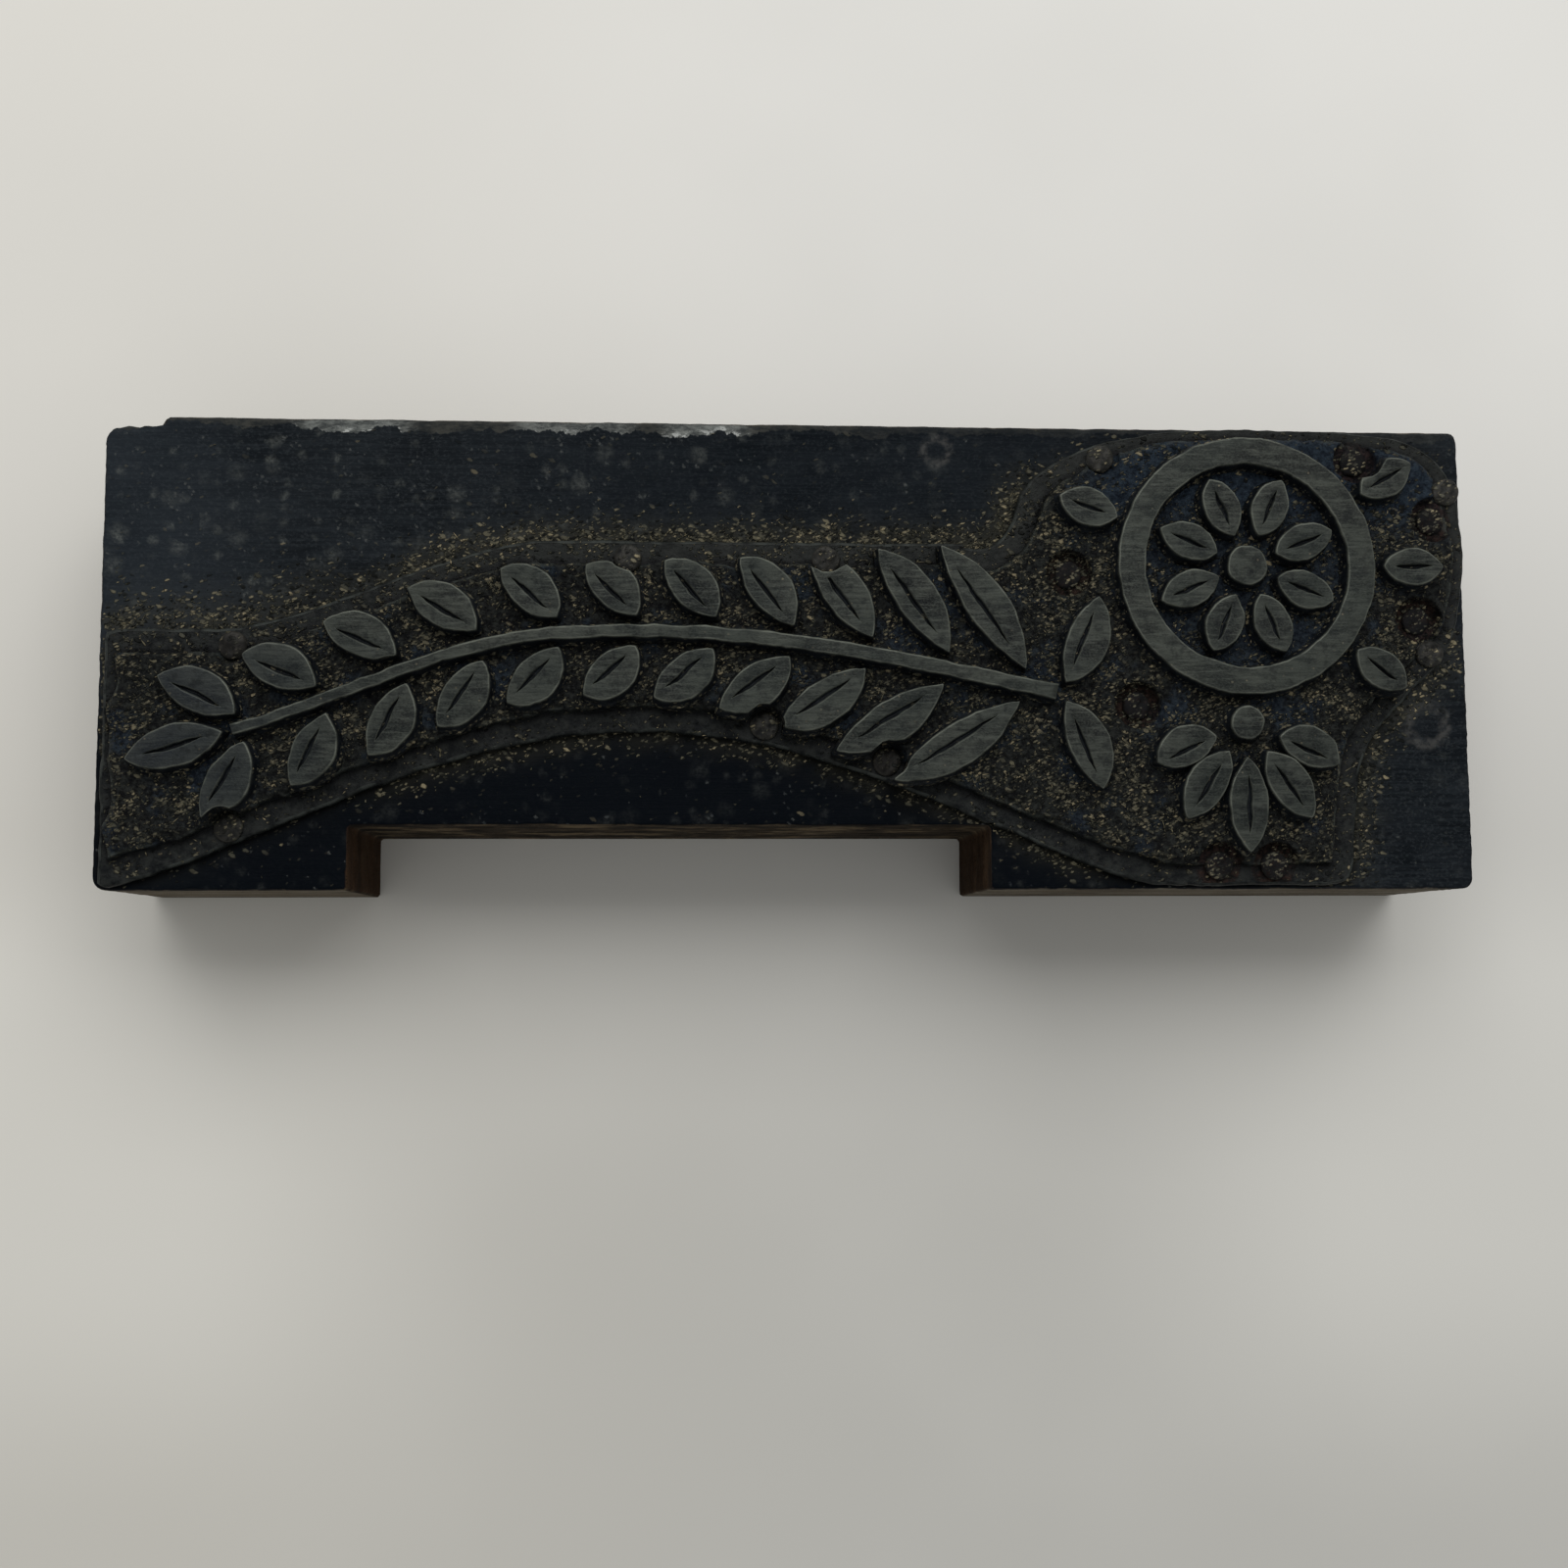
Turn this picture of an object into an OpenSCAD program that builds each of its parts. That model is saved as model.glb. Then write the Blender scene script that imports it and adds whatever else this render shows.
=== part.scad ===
// Letterpress printing block: a type-high wooden base with one nailed metal relief plate.
// Millimetres. X runs along the block, Y to its back, Z up to the printing face.
// The origin is the middle of the underside.

/* [Wooden base] */
// Length of the block
block_w = 127; // [110:1:160]
// Depth of the block from front to back
block_d = 43.7; // [42:0.1:60]
// Height of the printing face over the bed of the press
type_high = 23.32; // [20:0.01:28]
// Radius of the upright corners
corner_r = 1.4; // [0.5:0.1:3]
// Worn bevel along the top of the back edge
back_bevel = 0.9; // [0.2:0.1:2]
// Length of the chip at the back left corner
chip_w = 5.6; // [2:0.1:12]
// Depth of that chip into the back face
chip_d = 0.9; // [0.3:0.1:2]
// Height of that chip down the back face
chip_h = 7; // [2:0.5:14]

/* [Notch for set type] */
// Width of the leg left of the notch
left_leg_w = 22.6; // [15:0.1:30]
// Width of the notch
notch_w = 58.8; // [40:0.1:64]
// Depth of the notch into the front face
notch_d = 5.9; // [4:0.1:8]

/* [Metal plate] */
// Thickness of the whole plate, from the wood to the printing face
plate_t = 3.86; // [3:0.01:5]
// Thickness of the thin nailing flange round the plate
flange_t = 0.9; // [0.6:0.05:1.4]
// Thickness of the plate at the floor between the raised figures
floor_t = 2.3; // [1.8:0.05:2.7]
// Width of the nailing flange
flange_w = 2.3; // [2:0.1:2.8]
// Bare wood between the plate and the edges of the block
edge_gap = 0.3; // [0.1:0.05:1]
// Height of the left end of the band over its foot line
end_h = 23.4; // [20:0.1:26]
// Height of the top of the band over its foot line, at the crown
crown_h = 31.9; // [30:0.1:34]
// Rise of the arched lower edge over the foot line
arch_rise = 14.1; // [12:0.1:15]
// Span of the arched lower edge
arch_span = 95; // [88:0.5:97]
// Length of the lobe at the right end
lobe_w = 46; // [44:0.5:50]

/* [Relief] */
// Width that each raised figure gains on its way down to the floor, each side
shoulder = 0.38; // [0.2:0.02:0.4]
// Clear way between two raised figures, measured on the printing face
figure_gap = 0.9; // [0.85:0.05:1.2]
// Width of the engraved vein in a leaf
vein_w = 0.5; // [0.3:0.05:0.8]
// Depth of the engraved vein
vein_h = 0.6; // [0.3:0.05:1]
// Pairs of leaves on the garland
leaf_pairs = 11; // [8:1:11]
// Width of a leaf
leaf_w = 3.8; // [2.8:0.1:3.9]
// Angle between a leaf and the stem
leaf_angle = 44; // [42:1:60]
// Width of the stem at its thick end
stem_w = 1.3; // [0.9:0.1:1.8]
// Bare floor between a leaf and the edge of the floor
leaf_gap = 0.7; // [0.6:0.1:1.5]
// Outer radius of the medallion ring
ring_r = 12; // [10:0.1:12.2]
// Width of the medallion ring
ring_w = 2.4; // [1.5:0.1:2.6]
// Petals of the rosette in the ring
petals = 8; // [6:1:8]
// Length of the leaves beside the medallion
side_leaf_l = 5.6; // [4:0.1:6]
// Width of a rosette petal
petal_w = 3.3; // [2.4:0.1:3.4]
// Radius of the boss in the middle of the rosette
boss_r = 1.8; // [1.2:0.1:2]
// Distance from the right end of the plate to the middle of the medallion
ring_from_right = 21.6; // [20:0.1:24]
// Distance from the back of the plate to the middle of the medallion
ring_from_back = 13.6; // [13.4:0.1:15]
// Length of the middle petal of the palmette
palmette_l = 11.8; // [9:0.1:12]
// Angle between the petals of the palmette
palmette_step = 33; // [31:1:36]
// Width of a petal of the palmette
fan_petal_w = 3.6; // [2.8:0.1:3.8]

/* [Brads] */
// Diameter of a brad's head
head_d = 2.7; // [2:0.1:3]
// Thickness of a brad's head
head_t = 0.55; // [0.4:0.05:0.8]
// Diameter of a brad's shank
shank_d = 1.3; // [0.8:0.1:1.5]
// Length of a brad under its head
shank_l = 13; // [8:0.5:15]
// Play between a shank and its hole, on the radius
nail_fit = 0.03; // [0.02:0.01:0.1]
// Clear ring round the head of a brad on the flange
spot_gap = 0.35; // [0.2:0.05:0.6]
// Clear ring round the head of a brad in a pit
pit_gap = 0.75; // [0.4:0.05:1]
// Metal left under the head in a pit
pit_floor_t = 1.1; // [0.8:0.05:1.4]

/* [Hidden] */
cut = 1;
round_fn = 48;
wood_h = type_high - plate_t;
plate_w = block_w - 2 * edge_gap;
plate_d = block_d - 2 * edge_gap;
left_x = -plate_w / 2;
right_x = plate_w / 2;
back_y = plate_d / 2;
foot_y = -plate_d / 2;
lobe_x = right_x - lobe_w;
flange_z = wood_h + flange_t;
floor_z = wood_h + floor_t;
face_z = wood_h + plate_t;
sink = 0.5;
relief_h = face_z - floor_z + sink;
leaf_steps = 5;
hole_r = shank_d / 2 + nail_fit;
head_r = head_d / 2;
spot_r = head_r + spot_gap;
pit_r = head_r + pit_gap;

// Middle of the medallion, and the root of the palmette under it.
ring_x = right_x - ring_from_right;
ring_y = back_y - ring_from_back;
fan_x = ring_x - 0.4;
fan_y = ring_y - ring_r - boss_r - figure_gap;

// The arched lower edge runs between these two feet.
arch_x0 = left_x + 1.3;
arch_x1 = arch_x0 + arch_span;

function blend(t) = let (s = max(0, min(1, t))) s * s * (3 - 2 * s);
function mix(a, b, t) = a + (b - a) * t;

// Height of the lower edge at x: a rounded arch that meets the foot line at both feet.
function arch_y(x) =
    let (t = max(0, min(1, (x - arch_x0) / (arch_x1 - arch_x0))))
    foot_y + arch_rise * pow(sin(180 * t), 1.25);

// Height of the upper edge of the band at x: level at the left end, then up to the crown.
function band_y(x) =
    foot_y + mix(end_h, crown_h, blend((x - left_x - 9) / 32));

// Knots of the lobe: share of lobe_w from the right end, share of plate_d from the back,
// and the way in from the edge that the floor and the brads are set back along.
lobe_knots = [
    [1.03, 0.268, 0, -1],
    [0.98, 0.264, 0.3, -0.95],
    [0.937, 0.218, 0.75, -0.65],
    [0.912, 0.14, 0.95, -0.3],
    [0.84, 0.073, 0.6, -0.7],
    [0.72, 0.025, 0.2, -0.6],
    [0.55, 0.001, 0, -0.5],
    [0.3, 0, 0, -0.5],
    [0.13, 0.018, -0.2, -0.6],
    [0.035, 0.078, -0.55, -0.5],
    [0.002, 0.2, -0.6, -0.1],
    [0.004, 0.36, -0.6, 0.05],
    [0.043, 0.495, -0.7, 0.4],
    [0.122, 0.588, -0.75, 0.6],
    [0.195, 0.672, -0.85, 0.5],
    [0.23, 0.767, -0.95, 0.15],
    [0.241, 0.871, -1, 0],
    [0.252, 0.972, -0.95, 0.35],
    [0.283, 1, -0.75, 0.85]
];
last_knot = len(lobe_knots) - 1;

// A knot of the lobe, set back from the edge of the plate by inset.
function lobe_point(i, inset) =
    let (k = lobe_knots[i])
    [right_x - k[0] * lobe_w + k[2] * inset, back_y - k[1] * plate_d + k[3] * inset];

// A smooth curve through the knots of the lobe: u runs from 0 to last_knot.
function lobe_curve(u, inset) =
    let (
        i = min(floor(u), last_knot - 1),
        t = u - i,
        a = lobe_point(max(i - 1, 0), inset),
        b = lobe_point(i, inset),
        c = lobe_point(i + 1, inset),
        d = lobe_point(min(i + 2, last_knot), inset)
    )
    0.5 * (2 * b + (c - a) * t + (2 * a - 5 * b + 4 * c - d) * t * t
        + (3 * b - a - 3 * c + d) * t * t * t);

// The outline of the plate, anticlockwise from its left foot, set back by inset.
function outline(inset) =
    let (
        x0 = left_x + 0.4 + inset,
        foot_x = right_x - 0.283 * lobe_w - 0.75 * inset,
        y_foot = foot_y + 0.85 * inset,
        steps = 44,
        x1 = lobe_point(0, inset)[0]
    )
    concat(
        [for (i = [0 : steps]) let (x = mix(x0, arch_x1, i / steps))
            [x, max(arch_y(x) + inset, y_foot)]],
        [[foot_x - 2, y_foot]],
        [for (i = [0 : 5 * last_knot]) lobe_curve(last_knot - i / 5, inset)],
        [for (i = [1 : 26]) let (x = mix(x1, x0 + 0.8, i / 26)) [x, band_y(x) - inset]],
        [[x0 + 0.2, band_y(x0) - inset - 0.3], [x0, band_y(x0) - inset - 0.9]]
    );

// The middle line of the garland, halfway between the edges of the band.
stem_x0 = left_x + 12.6;
stem_x1 = lobe_x + 6.4;
function stem_y(x) = (min(band_y(x), foot_y + crown_h) + arch_y(x)) / 2;
function stem_angle(x) = atan((stem_y(x + 0.5) - stem_y(x - 0.5)));
function stem_half(x) = stem_w / 2 * mix(0.65, 1, (x - stem_x0) / (stem_x1 - stem_x0));

// Leaf i of the garland starts at leaf_x, reaches this far to the side of the middle line
// and ends at tip_x.
function leaf_x(i) = mix(stem_x0 + 2, stem_x1 - 1.6, i / (leaf_pairs - 1));
function reach(x) = (band_y(x) - arch_y(x)) / 2 - flange_w - leaf_gap;
function tip_x(i) = leaf_x(i) - reach(leaf_x(i)) / tan(leaf_angle);

module rounded_plan(w, d, r) {
    square([w - 2 * r, d], center = true);
    square([w, d - 2 * r], center = true);
    for (x = [-1, 1], y = [-1, 1])
        translate([x * (w / 2 - r), y * (d / 2 - r)]) circle(r, $fn = round_fn);
}

// The block seen from above, with its edges and its notch set back by gap.
module block_plan(gap) {
    difference() {
        rounded_plan(block_w - 2 * gap, block_d - 2 * gap, corner_r);
        translate([-block_w / 2 + left_leg_w - gap, -block_d / 2 - cut])
            square([notch_w + 2 * gap, notch_d + gap + cut]);
    }
}

// Places of the brads on the flange: along the garland as a share of its leaves and the
// edge, 1 above and 0 below, and on the lobe as the place along its knots.
band_nails = [[0.05, 1], [0.5, 1], [0.8, 1], [0.05, 0], [0.65, 0], [0.87, 0]];
lobe_nails = [4.6, 9.4, 12.2];
// Places of the brads in pits: angle round the medallion and distance from its ring, and
// steps to either side of the palmette's foot and down from it.
ring_pits = [[182, 4.7], [231, 4.6], [15, 6.7], [-16, 5], [44, 3]];
fan_pits = [[-2.6, 13], [2.6, 13]];
nail_inset = head_r + 0.35;

// A brad stands at the edge between the tips of two neighbouring leaves.
function band_nail(n) =
    let (x = tip_x(floor(n[0] * leaf_pairs) + 0.5))
    [x, n[1] == 1 ? band_y(x) - nail_inset : arch_y(x) + nail_inset];

flange_places = concat(
    [for (n = band_nails) band_nail(n)],
    [for (u = lobe_nails) lobe_curve(u, nail_inset * 1.1)]
);
sunk_places = concat(
    [for (p = ring_pits) [ring_x, ring_y] + (ring_r + p[1]) * [cos(p[0]), sin(p[0])]],
    [for (p = fan_pits) [fan_x + p[0], fan_y - p[1]]]
);

// Radius of an arc over a chord l that rises by s in its middle.
function arc_r(l, s) = (l * l / 4 + s * s) / (2 * s);

// Height over its chord of that arc, at x along the chord.
function arc_h(l, s, x) = sqrt(max(0, pow(arc_r(l, s), 2) - pow(x - l / 2, 2))) - arc_r(l, s) + s;

// A closed solid through rings of equally many points, each ring at its own height. Each
// ring runs out along its right side and back along its left side, so that the caps are
// strips across the figure.
module raised(rings, heights) {
    n = len(rings[0]);
    h = n / 2;
    top = (len(rings) - 1) * n;
    polyhedron(
        points = [for (k = [0 : len(rings) - 1]) for (p = rings[k]) [p[0], p[1], heights[k]]],
        faces = concat(
            [for (k = [0 : len(rings) - 2]) for (i = [0 : n - 1]) let (j = (i + 1) % n)
                [k * n + j, k * n + i, (k + 1) * n + i]],
            [for (k = [0 : len(rings) - 2]) for (i = [0 : n - 1]) let (j = (i + 1) % n)
                [k * n + j, (k + 1) * n + i, (k + 1) * n + j]],
            [for (i = [0 : h - 2]) [i, i + 1, n - 1 - i]],
            [for (i = [0 : h - 2]) [i + 1, n - 2 - i, n - 1 - i]],
            [for (i = [0 : h - 2]) [top + i, top + n - 1 - i, top + i + 1]],
            [for (i = [0 : h - 2]) [top + i + 1, top + n - 1 - i, top + n - 2 - i]]
        )
    );
}

// A raised disc that widens by shoulder on its way down to the floor.
module raised_disc(r) {
    translate([0, 0, floor_z - sink])
        cylinder(h = relief_h, r1 = r + shoulder, r2 = r, $fn = round_fn);
}

// A ring round a leaf along X between two arcs, widened by grow; its ends are cut blunt.
function leaf_ring(l, up, down, grow = 0, from = 0) =
    let (n = leaf_steps, a = l + 2 * grow)
    concat(
        [for (i = [0 : n]) let (x = a / 2 * (1 - cos(8 + 164 * i / n)))
            [from + x - grow, -arc_h(a, down + grow, x)]],
        [for (i = [n : -1 : 0]) let (x = a / 2 * (1 - cos(8 + 164 * i / n)))
            [from + x - grow, arc_h(a, up + grow, x)]]
    );

// A raised leaf along X from the origin: wide at the floor and flat on top, with an
// engraved vein. lean makes one side fuller than the other.
module leaf(l, w, lean = 0) {
    up = w / 2 * (1 + lean);
    down = w / 2 * (1 - lean);
    raised(
        [
            leaf_ring(l, up, down, shoulder),
            leaf_ring(l, up, down),
            leaf_ring(0.64 * l, vein_w / 2, vein_w / 2, 0, 0.18 * l),
            leaf_ring(0.56 * l, vein_w / 8, vein_w / 8, 0, 0.22 * l)
        ],
        [floor_z - sink, face_z, face_z, face_z - vein_h]
    );
}

module place(p, angle) {
    translate([p[0], p[1], 0]) rotate([0, 0, angle]) children();
}

// The raised stem: a tapered bar that follows the middle line of the band.
module stem() {
    steps = 20;
    side = function (i, sign, grow)
        let (x = mix(stem_x0, stem_x1, i / steps))
        [x, stem_y(x)] + sign * (stem_half(x) + grow) * [-sin(stem_angle(x)), cos(stem_angle(x))];
    ring = function (grow) concat(
        [for (i = [0 : steps]) side(i, -1, grow)],
        [for (i = [steps : -1 : 0]) side(i, 1, grow)]
    );
    raised([ring(shoulder), ring(0)], [floor_z - sink, face_z]);
}

// Pairs of leaves that lean towards the left end, one leaf at the thin tip of the stem
// and two at its thick end. Every leaf stands clear of the stem.
module garland() {
    stem();
    for (i = [0 : leaf_pairs - 1], sign = [-1, 1]) {
        x = leaf_x(i);
        start = (stem_half(x) + figure_gap) / sin(leaf_angle);
        place([x, stem_y(x)], stem_angle(x) + 180 - sign * leaf_angle)
            translate([start, 0, 0])
                leaf(reach(x) / sin(leaf_angle) - start, leaf_w, -sign * 0.25);
    }
    place([stem_x0, stem_y(stem_x0)], stem_angle(stem_x0) + 180)
        translate([figure_gap, 0, 0])
            leaf(stem_x0 - left_x - flange_w - leaf_gap - figure_gap, leaf_w);
    for (sign = [-1, 1])
        place([stem_x1 + figure_gap, stem_y(stem_x1) + sign * figure_gap], sign * 68)
            leaf(8.6, leaf_w, -sign * 0.25);
}

// A ring round a rosette, with short leaves on both sides of it.
side_leaves = [-38, 0, 32, 160];

module medallion() {
    inner = ring_r - ring_w;
    start = boss_r + figure_gap + 0.3;
    translate([ring_x, ring_y, 0]) {
        rotate_extrude($fn = 96) polygon([
            [inner - shoulder, floor_z - sink],
            [ring_r + shoulder, floor_z - sink],
            [ring_r, face_z],
            [inner, face_z]
        ]);
        raised_disc(boss_r);
        for (i = [0 : petals - 1])
            rotate([0, 0, (i + 0.5) * 360 / petals])
                translate([start, 0, 0]) leaf(inner - start - figure_gap, petal_w);
        for (a = side_leaves)
            rotate([0, 0, a])
                translate([ring_r + figure_gap, 0, 0]) leaf(side_leaf_l, leaf_w * 0.9);
    }
}

// A fan of five petals under the medallion, longest in the middle.
module palmette() {
    start = boss_r + figure_gap + 0.5;
    translate([fan_x, fan_y, 0]) {
        for (k = [-2 : 2])
            rotate([0, 0, -90 + k * palmette_step])
                translate([start, 0, 0])
                    leaf(palmette_l - start - abs(k) * 1.3, fan_petal_w, 0.12 * k);
        raised_disc(boss_r - 0.3);
    }
}

module at_places(places, z) {
    for (p = places) translate([p[0], p[1], z]) children();
}

module wood_block() {
    color([0.11, 0.12, 0.15])
    difference() {
        linear_extrude(wood_h) block_plan(0);
        // worn bevel along the back
        translate([-block_w / 2 - cut, block_d / 2, wood_h]) rotate([90, 0, 90])
            linear_extrude(block_w + 2 * cut)
                polygon([[-back_bevel, 0], [0, -back_bevel], [cut, -back_bevel], [cut, cut], [-back_bevel, cut]]);
        // chip at the back left corner
        translate([-block_w / 2, block_d / 2, wood_h - chip_h]) linear_extrude(chip_h + cut)
            polygon([[-cut, cut], [-cut, -chip_d * 1.4], [chip_w * 0.8, -chip_d], [chip_w, 0], [chip_w, cut]]);
        at_places(flange_places, flange_z - shank_l) cylinder(h = shank_l + cut, r = hole_r, $fn = 24);
        at_places(sunk_places, wood_h + pit_floor_t - shank_l)
            cylinder(h = shank_l + cut, r = hole_r, $fn = 24);
    }
}

module printing_plate() {
    color([0.36, 0.39, 0.37])
    difference() {
        union() {
            translate([0, 0, wood_h]) linear_extrude(flange_t)
                intersection() { polygon(outline(0)); block_plan(edge_gap); }
            translate([0, 0, wood_h]) linear_extrude(floor_t)
                intersection() { polygon(outline(flange_w)); block_plan(edge_gap + 0.5); }
            garland();
            medallion();
            palmette();
        }
        at_places(flange_places, flange_z) cylinder(h = plate_t, r = spot_r, $fn = round_fn);
        at_places(sunk_places, wood_h + pit_floor_t) cylinder(h = plate_t, r = pit_r, $fn = round_fn);
        at_places(concat(flange_places, sunk_places), wood_h - cut)
            cylinder(h = plate_t, r = hole_r, $fn = 24);
    }
}

// A brad with its seat at z = 0: flat, slightly crowned head and a pointed shank.
module brad() {
    rotate_extrude($fn = round_fn) polygon([
        [0, 0.02 - shank_l],
        [shank_d / 2, 2 - shank_l],
        [shank_d / 2, 0],
        [head_r, 0],
        [head_r, head_t * 0.6],
        [head_r - 0.25, head_t * 0.9],
        [0, head_t]
    ]);
}

module flange_nails() {
    color([0.45, 0.43, 0.4]) at_places(flange_places, flange_z) brad();
}

module pit_nails() {
    color([0.3, 0.29, 0.28]) at_places(sunk_places, wood_h + pit_floor_t) brad();
}

wood_block();
printing_plate();
flange_nails();
pit_nails();
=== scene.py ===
# %% [markdown]
# # A letterpress printing block
#
# This notebook dresses a measured model of an old printing block: a hardwood base, a metal
# plate with a raised ornament, and the small nails that hold the plate down. The measured
# model is loaded first and stays where it is. Each new piece is built around it, in its
# place, so that it can be held against the real thing from any side.

import math

import bmesh
import bpy
import numpy as np
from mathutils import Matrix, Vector, geometry


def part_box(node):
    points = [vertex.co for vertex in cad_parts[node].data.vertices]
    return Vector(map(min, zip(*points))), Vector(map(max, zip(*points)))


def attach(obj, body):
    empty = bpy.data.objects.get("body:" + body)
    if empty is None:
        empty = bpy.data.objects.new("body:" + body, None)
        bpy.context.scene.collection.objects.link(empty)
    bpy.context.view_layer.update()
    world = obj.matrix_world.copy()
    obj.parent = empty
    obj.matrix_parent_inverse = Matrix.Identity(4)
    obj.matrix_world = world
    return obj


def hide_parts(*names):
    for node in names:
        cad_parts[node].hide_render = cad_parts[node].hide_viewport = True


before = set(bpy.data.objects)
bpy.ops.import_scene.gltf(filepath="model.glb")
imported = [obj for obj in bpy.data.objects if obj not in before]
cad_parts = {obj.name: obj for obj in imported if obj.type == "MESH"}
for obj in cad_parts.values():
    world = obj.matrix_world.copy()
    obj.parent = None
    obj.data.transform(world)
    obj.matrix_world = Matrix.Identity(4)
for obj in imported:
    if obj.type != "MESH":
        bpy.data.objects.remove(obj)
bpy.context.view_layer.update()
MM = 0.001
print("nodes:", sorted(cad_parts))

# %% [markdown]
# ## Sizes
#
# The overall sizes come from the loaded model, so that nothing drifts apart. The rest are
# the sizes of the real block in millimetres: the notch that was sawn for a line of type,
# the chip at the back, the steps of the plate and the lobe at its right end.

# %% Sizes
wood_low, wood_high = [np.array(c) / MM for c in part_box("wood_block")]
block_w, block_d, _ = wood_high - wood_low
half_w, half_d = block_w / 2, block_d / 2
wood_top = wood_high[2]
face_z = max(corner[2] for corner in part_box("printing_plate")) / MM
print("block", round(block_w, 2), "x", round(block_d, 2), "printing face at", round(face_z, 2))

# The wood: its corners, the leg left of the notch, the notch and the chip
corner_r = 1.4
left_leg_w, notch_w, notch_d = 22.6, 58.8, 5.9
chip_w, chip_d, chip_h = 5.6, 0.9, 7
notch_left = -half_w + left_leg_w
notch_right = notch_left + notch_w
notch_back = -half_d + notch_d

# The plate: how far it stays off the edge of the wood, its widths and its thicknesses
edge_gap, flange_w, lobe_w = 0.3, 2.3, 46
flange_t, floor_t = 0.9, 2.3
flange_z, floor_z = wood_top + flange_t, wood_top + floor_t
left_x = -half_w + edge_gap
right_x = -left_x
back_y = half_d - edge_gap
foot_y = -back_y

# %% [markdown]
# ## Helpers for surfaces
#
# Every piece is made of grids: a ring of points is carried from one height to the next. A
# small class gathers such grids, with a few numbers on each point that the materials read
# later, and turns them into one mesh. The ripple adds up slow waves, which is enough to
# take the ruler-straight look out of a cut edge.

# %% Surface helpers


def mix(a, b, t):
    """The value a share t of the way from a to b."""
    return a + (b - a) * t


def smooth(t):
    """A smooth step: 0 below t = 0, 1 above t = 1, three t squared less two t cubed between."""
    t = np.clip(t, 0, 1)
    return t * t * (3 - 2 * t)


def ripple(points, size, seed=0, waves=12):
    """A smooth random height, mostly between -1 and 1: a sum of sine waves in random ways."""
    r = np.random.default_rng(seed)
    p = np.asarray(points, float)
    ways = r.normal(size=(p.shape[-1], waves))
    ways /= np.linalg.norm(ways, axis=0)
    steps = 2 * np.pi / size * r.uniform(0.6, 1.6, waves)
    return np.sin(p @ (ways * steps) + r.uniform(0, 2 * np.pi, waves)).sum(-1) / math.sqrt(waves)


def sway(points, size, seed):
    """Two ripples side by side, one to shift points along X and one along Y."""
    return np.stack([ripple(points, size, seed), ripple(points, size, seed + 1)], -1)


def gap_to(points, place):
    """Distance from each point to one place."""
    return np.hypot(*(points - place).T)


def normals_of(loop):
    """Unit normals, pointing outwards, of a closed anticlockwise loop in the plane."""
    way = np.roll(loop, -1, 0) - np.roll(loop, 1, 0)
    n = np.stack([way[:, 1], -way[:, 0]], 1)
    return n / np.maximum(np.linalg.norm(n, axis=1), 1e-9)[:, None]


def resample(loop, step):
    """The same closed loop with points at even steps along it."""
    closed = np.vstack([loop, loop[:1]])
    length = np.r_[0, np.cumsum(np.linalg.norm(np.diff(closed, axis=0), axis=1))]
    s = np.linspace(0, length[-1], int(length[-1] / step) + 1)[:-1]
    return np.stack([np.interp(s, length, closed[:, i]) for i in (0, 1)], 1)


def distance_to(points, others):
    """Distance from each point to the nearest of the others, worked out in blocks."""
    size = (others ** 2).sum(1)
    blocks = np.array_split(points, max(1, len(points) // 2000))
    nearest = [(size - 2 * q @ others.T).min(1) + (q ** 2).sum(1) for q in blocks]
    return np.sqrt(np.maximum(np.concatenate(nearest), 0))


def inside(points, loop):
    """Whether each point lies in the loop, by counting crossings of a line to its right."""
    result = np.zeros(len(points), bool)
    near = ((points > loop.min(0)) & (points < loop.max(0))).all(1)
    x, y = points[near, 0, None], points[near, 1, None]
    hits = np.zeros(near.sum(), int)
    following = np.roll(loop, -1, 0)
    for a, b in zip(np.array_split(loop, 20), np.array_split(following, 20)):
        spans = (a[:, 1] > y) != (b[:, 1] > y)
        rise = np.where(b[:, 1] == a[:, 1], 1e-12, b[:, 1] - a[:, 1])
        hits += (spans & (x < a[:, 0] + (y - a[:, 1]) * (b[:, 0] - a[:, 0]) / rise)).sum(1)
    result[near] = hits % 2 == 1
    return result


# %% [markdown]
# A ring has as many points as its neighbour, so the faces between them are quads. Where a
# ring has to be closed with a lid, strips run between its right and left side. A wide patch
# with a wavy edge, such as the floor of the plate, is filled with triangles between
# scattered points instead.

# %% From grids to meshes


def in_scene(name, data):
    """A new object that shows a mesh, a lamp or a camera, linked into the scene."""
    thing = bpy.data.objects.new(name, data)
    bpy.context.scene.collection.objects.link(thing)
    return thing


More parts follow.
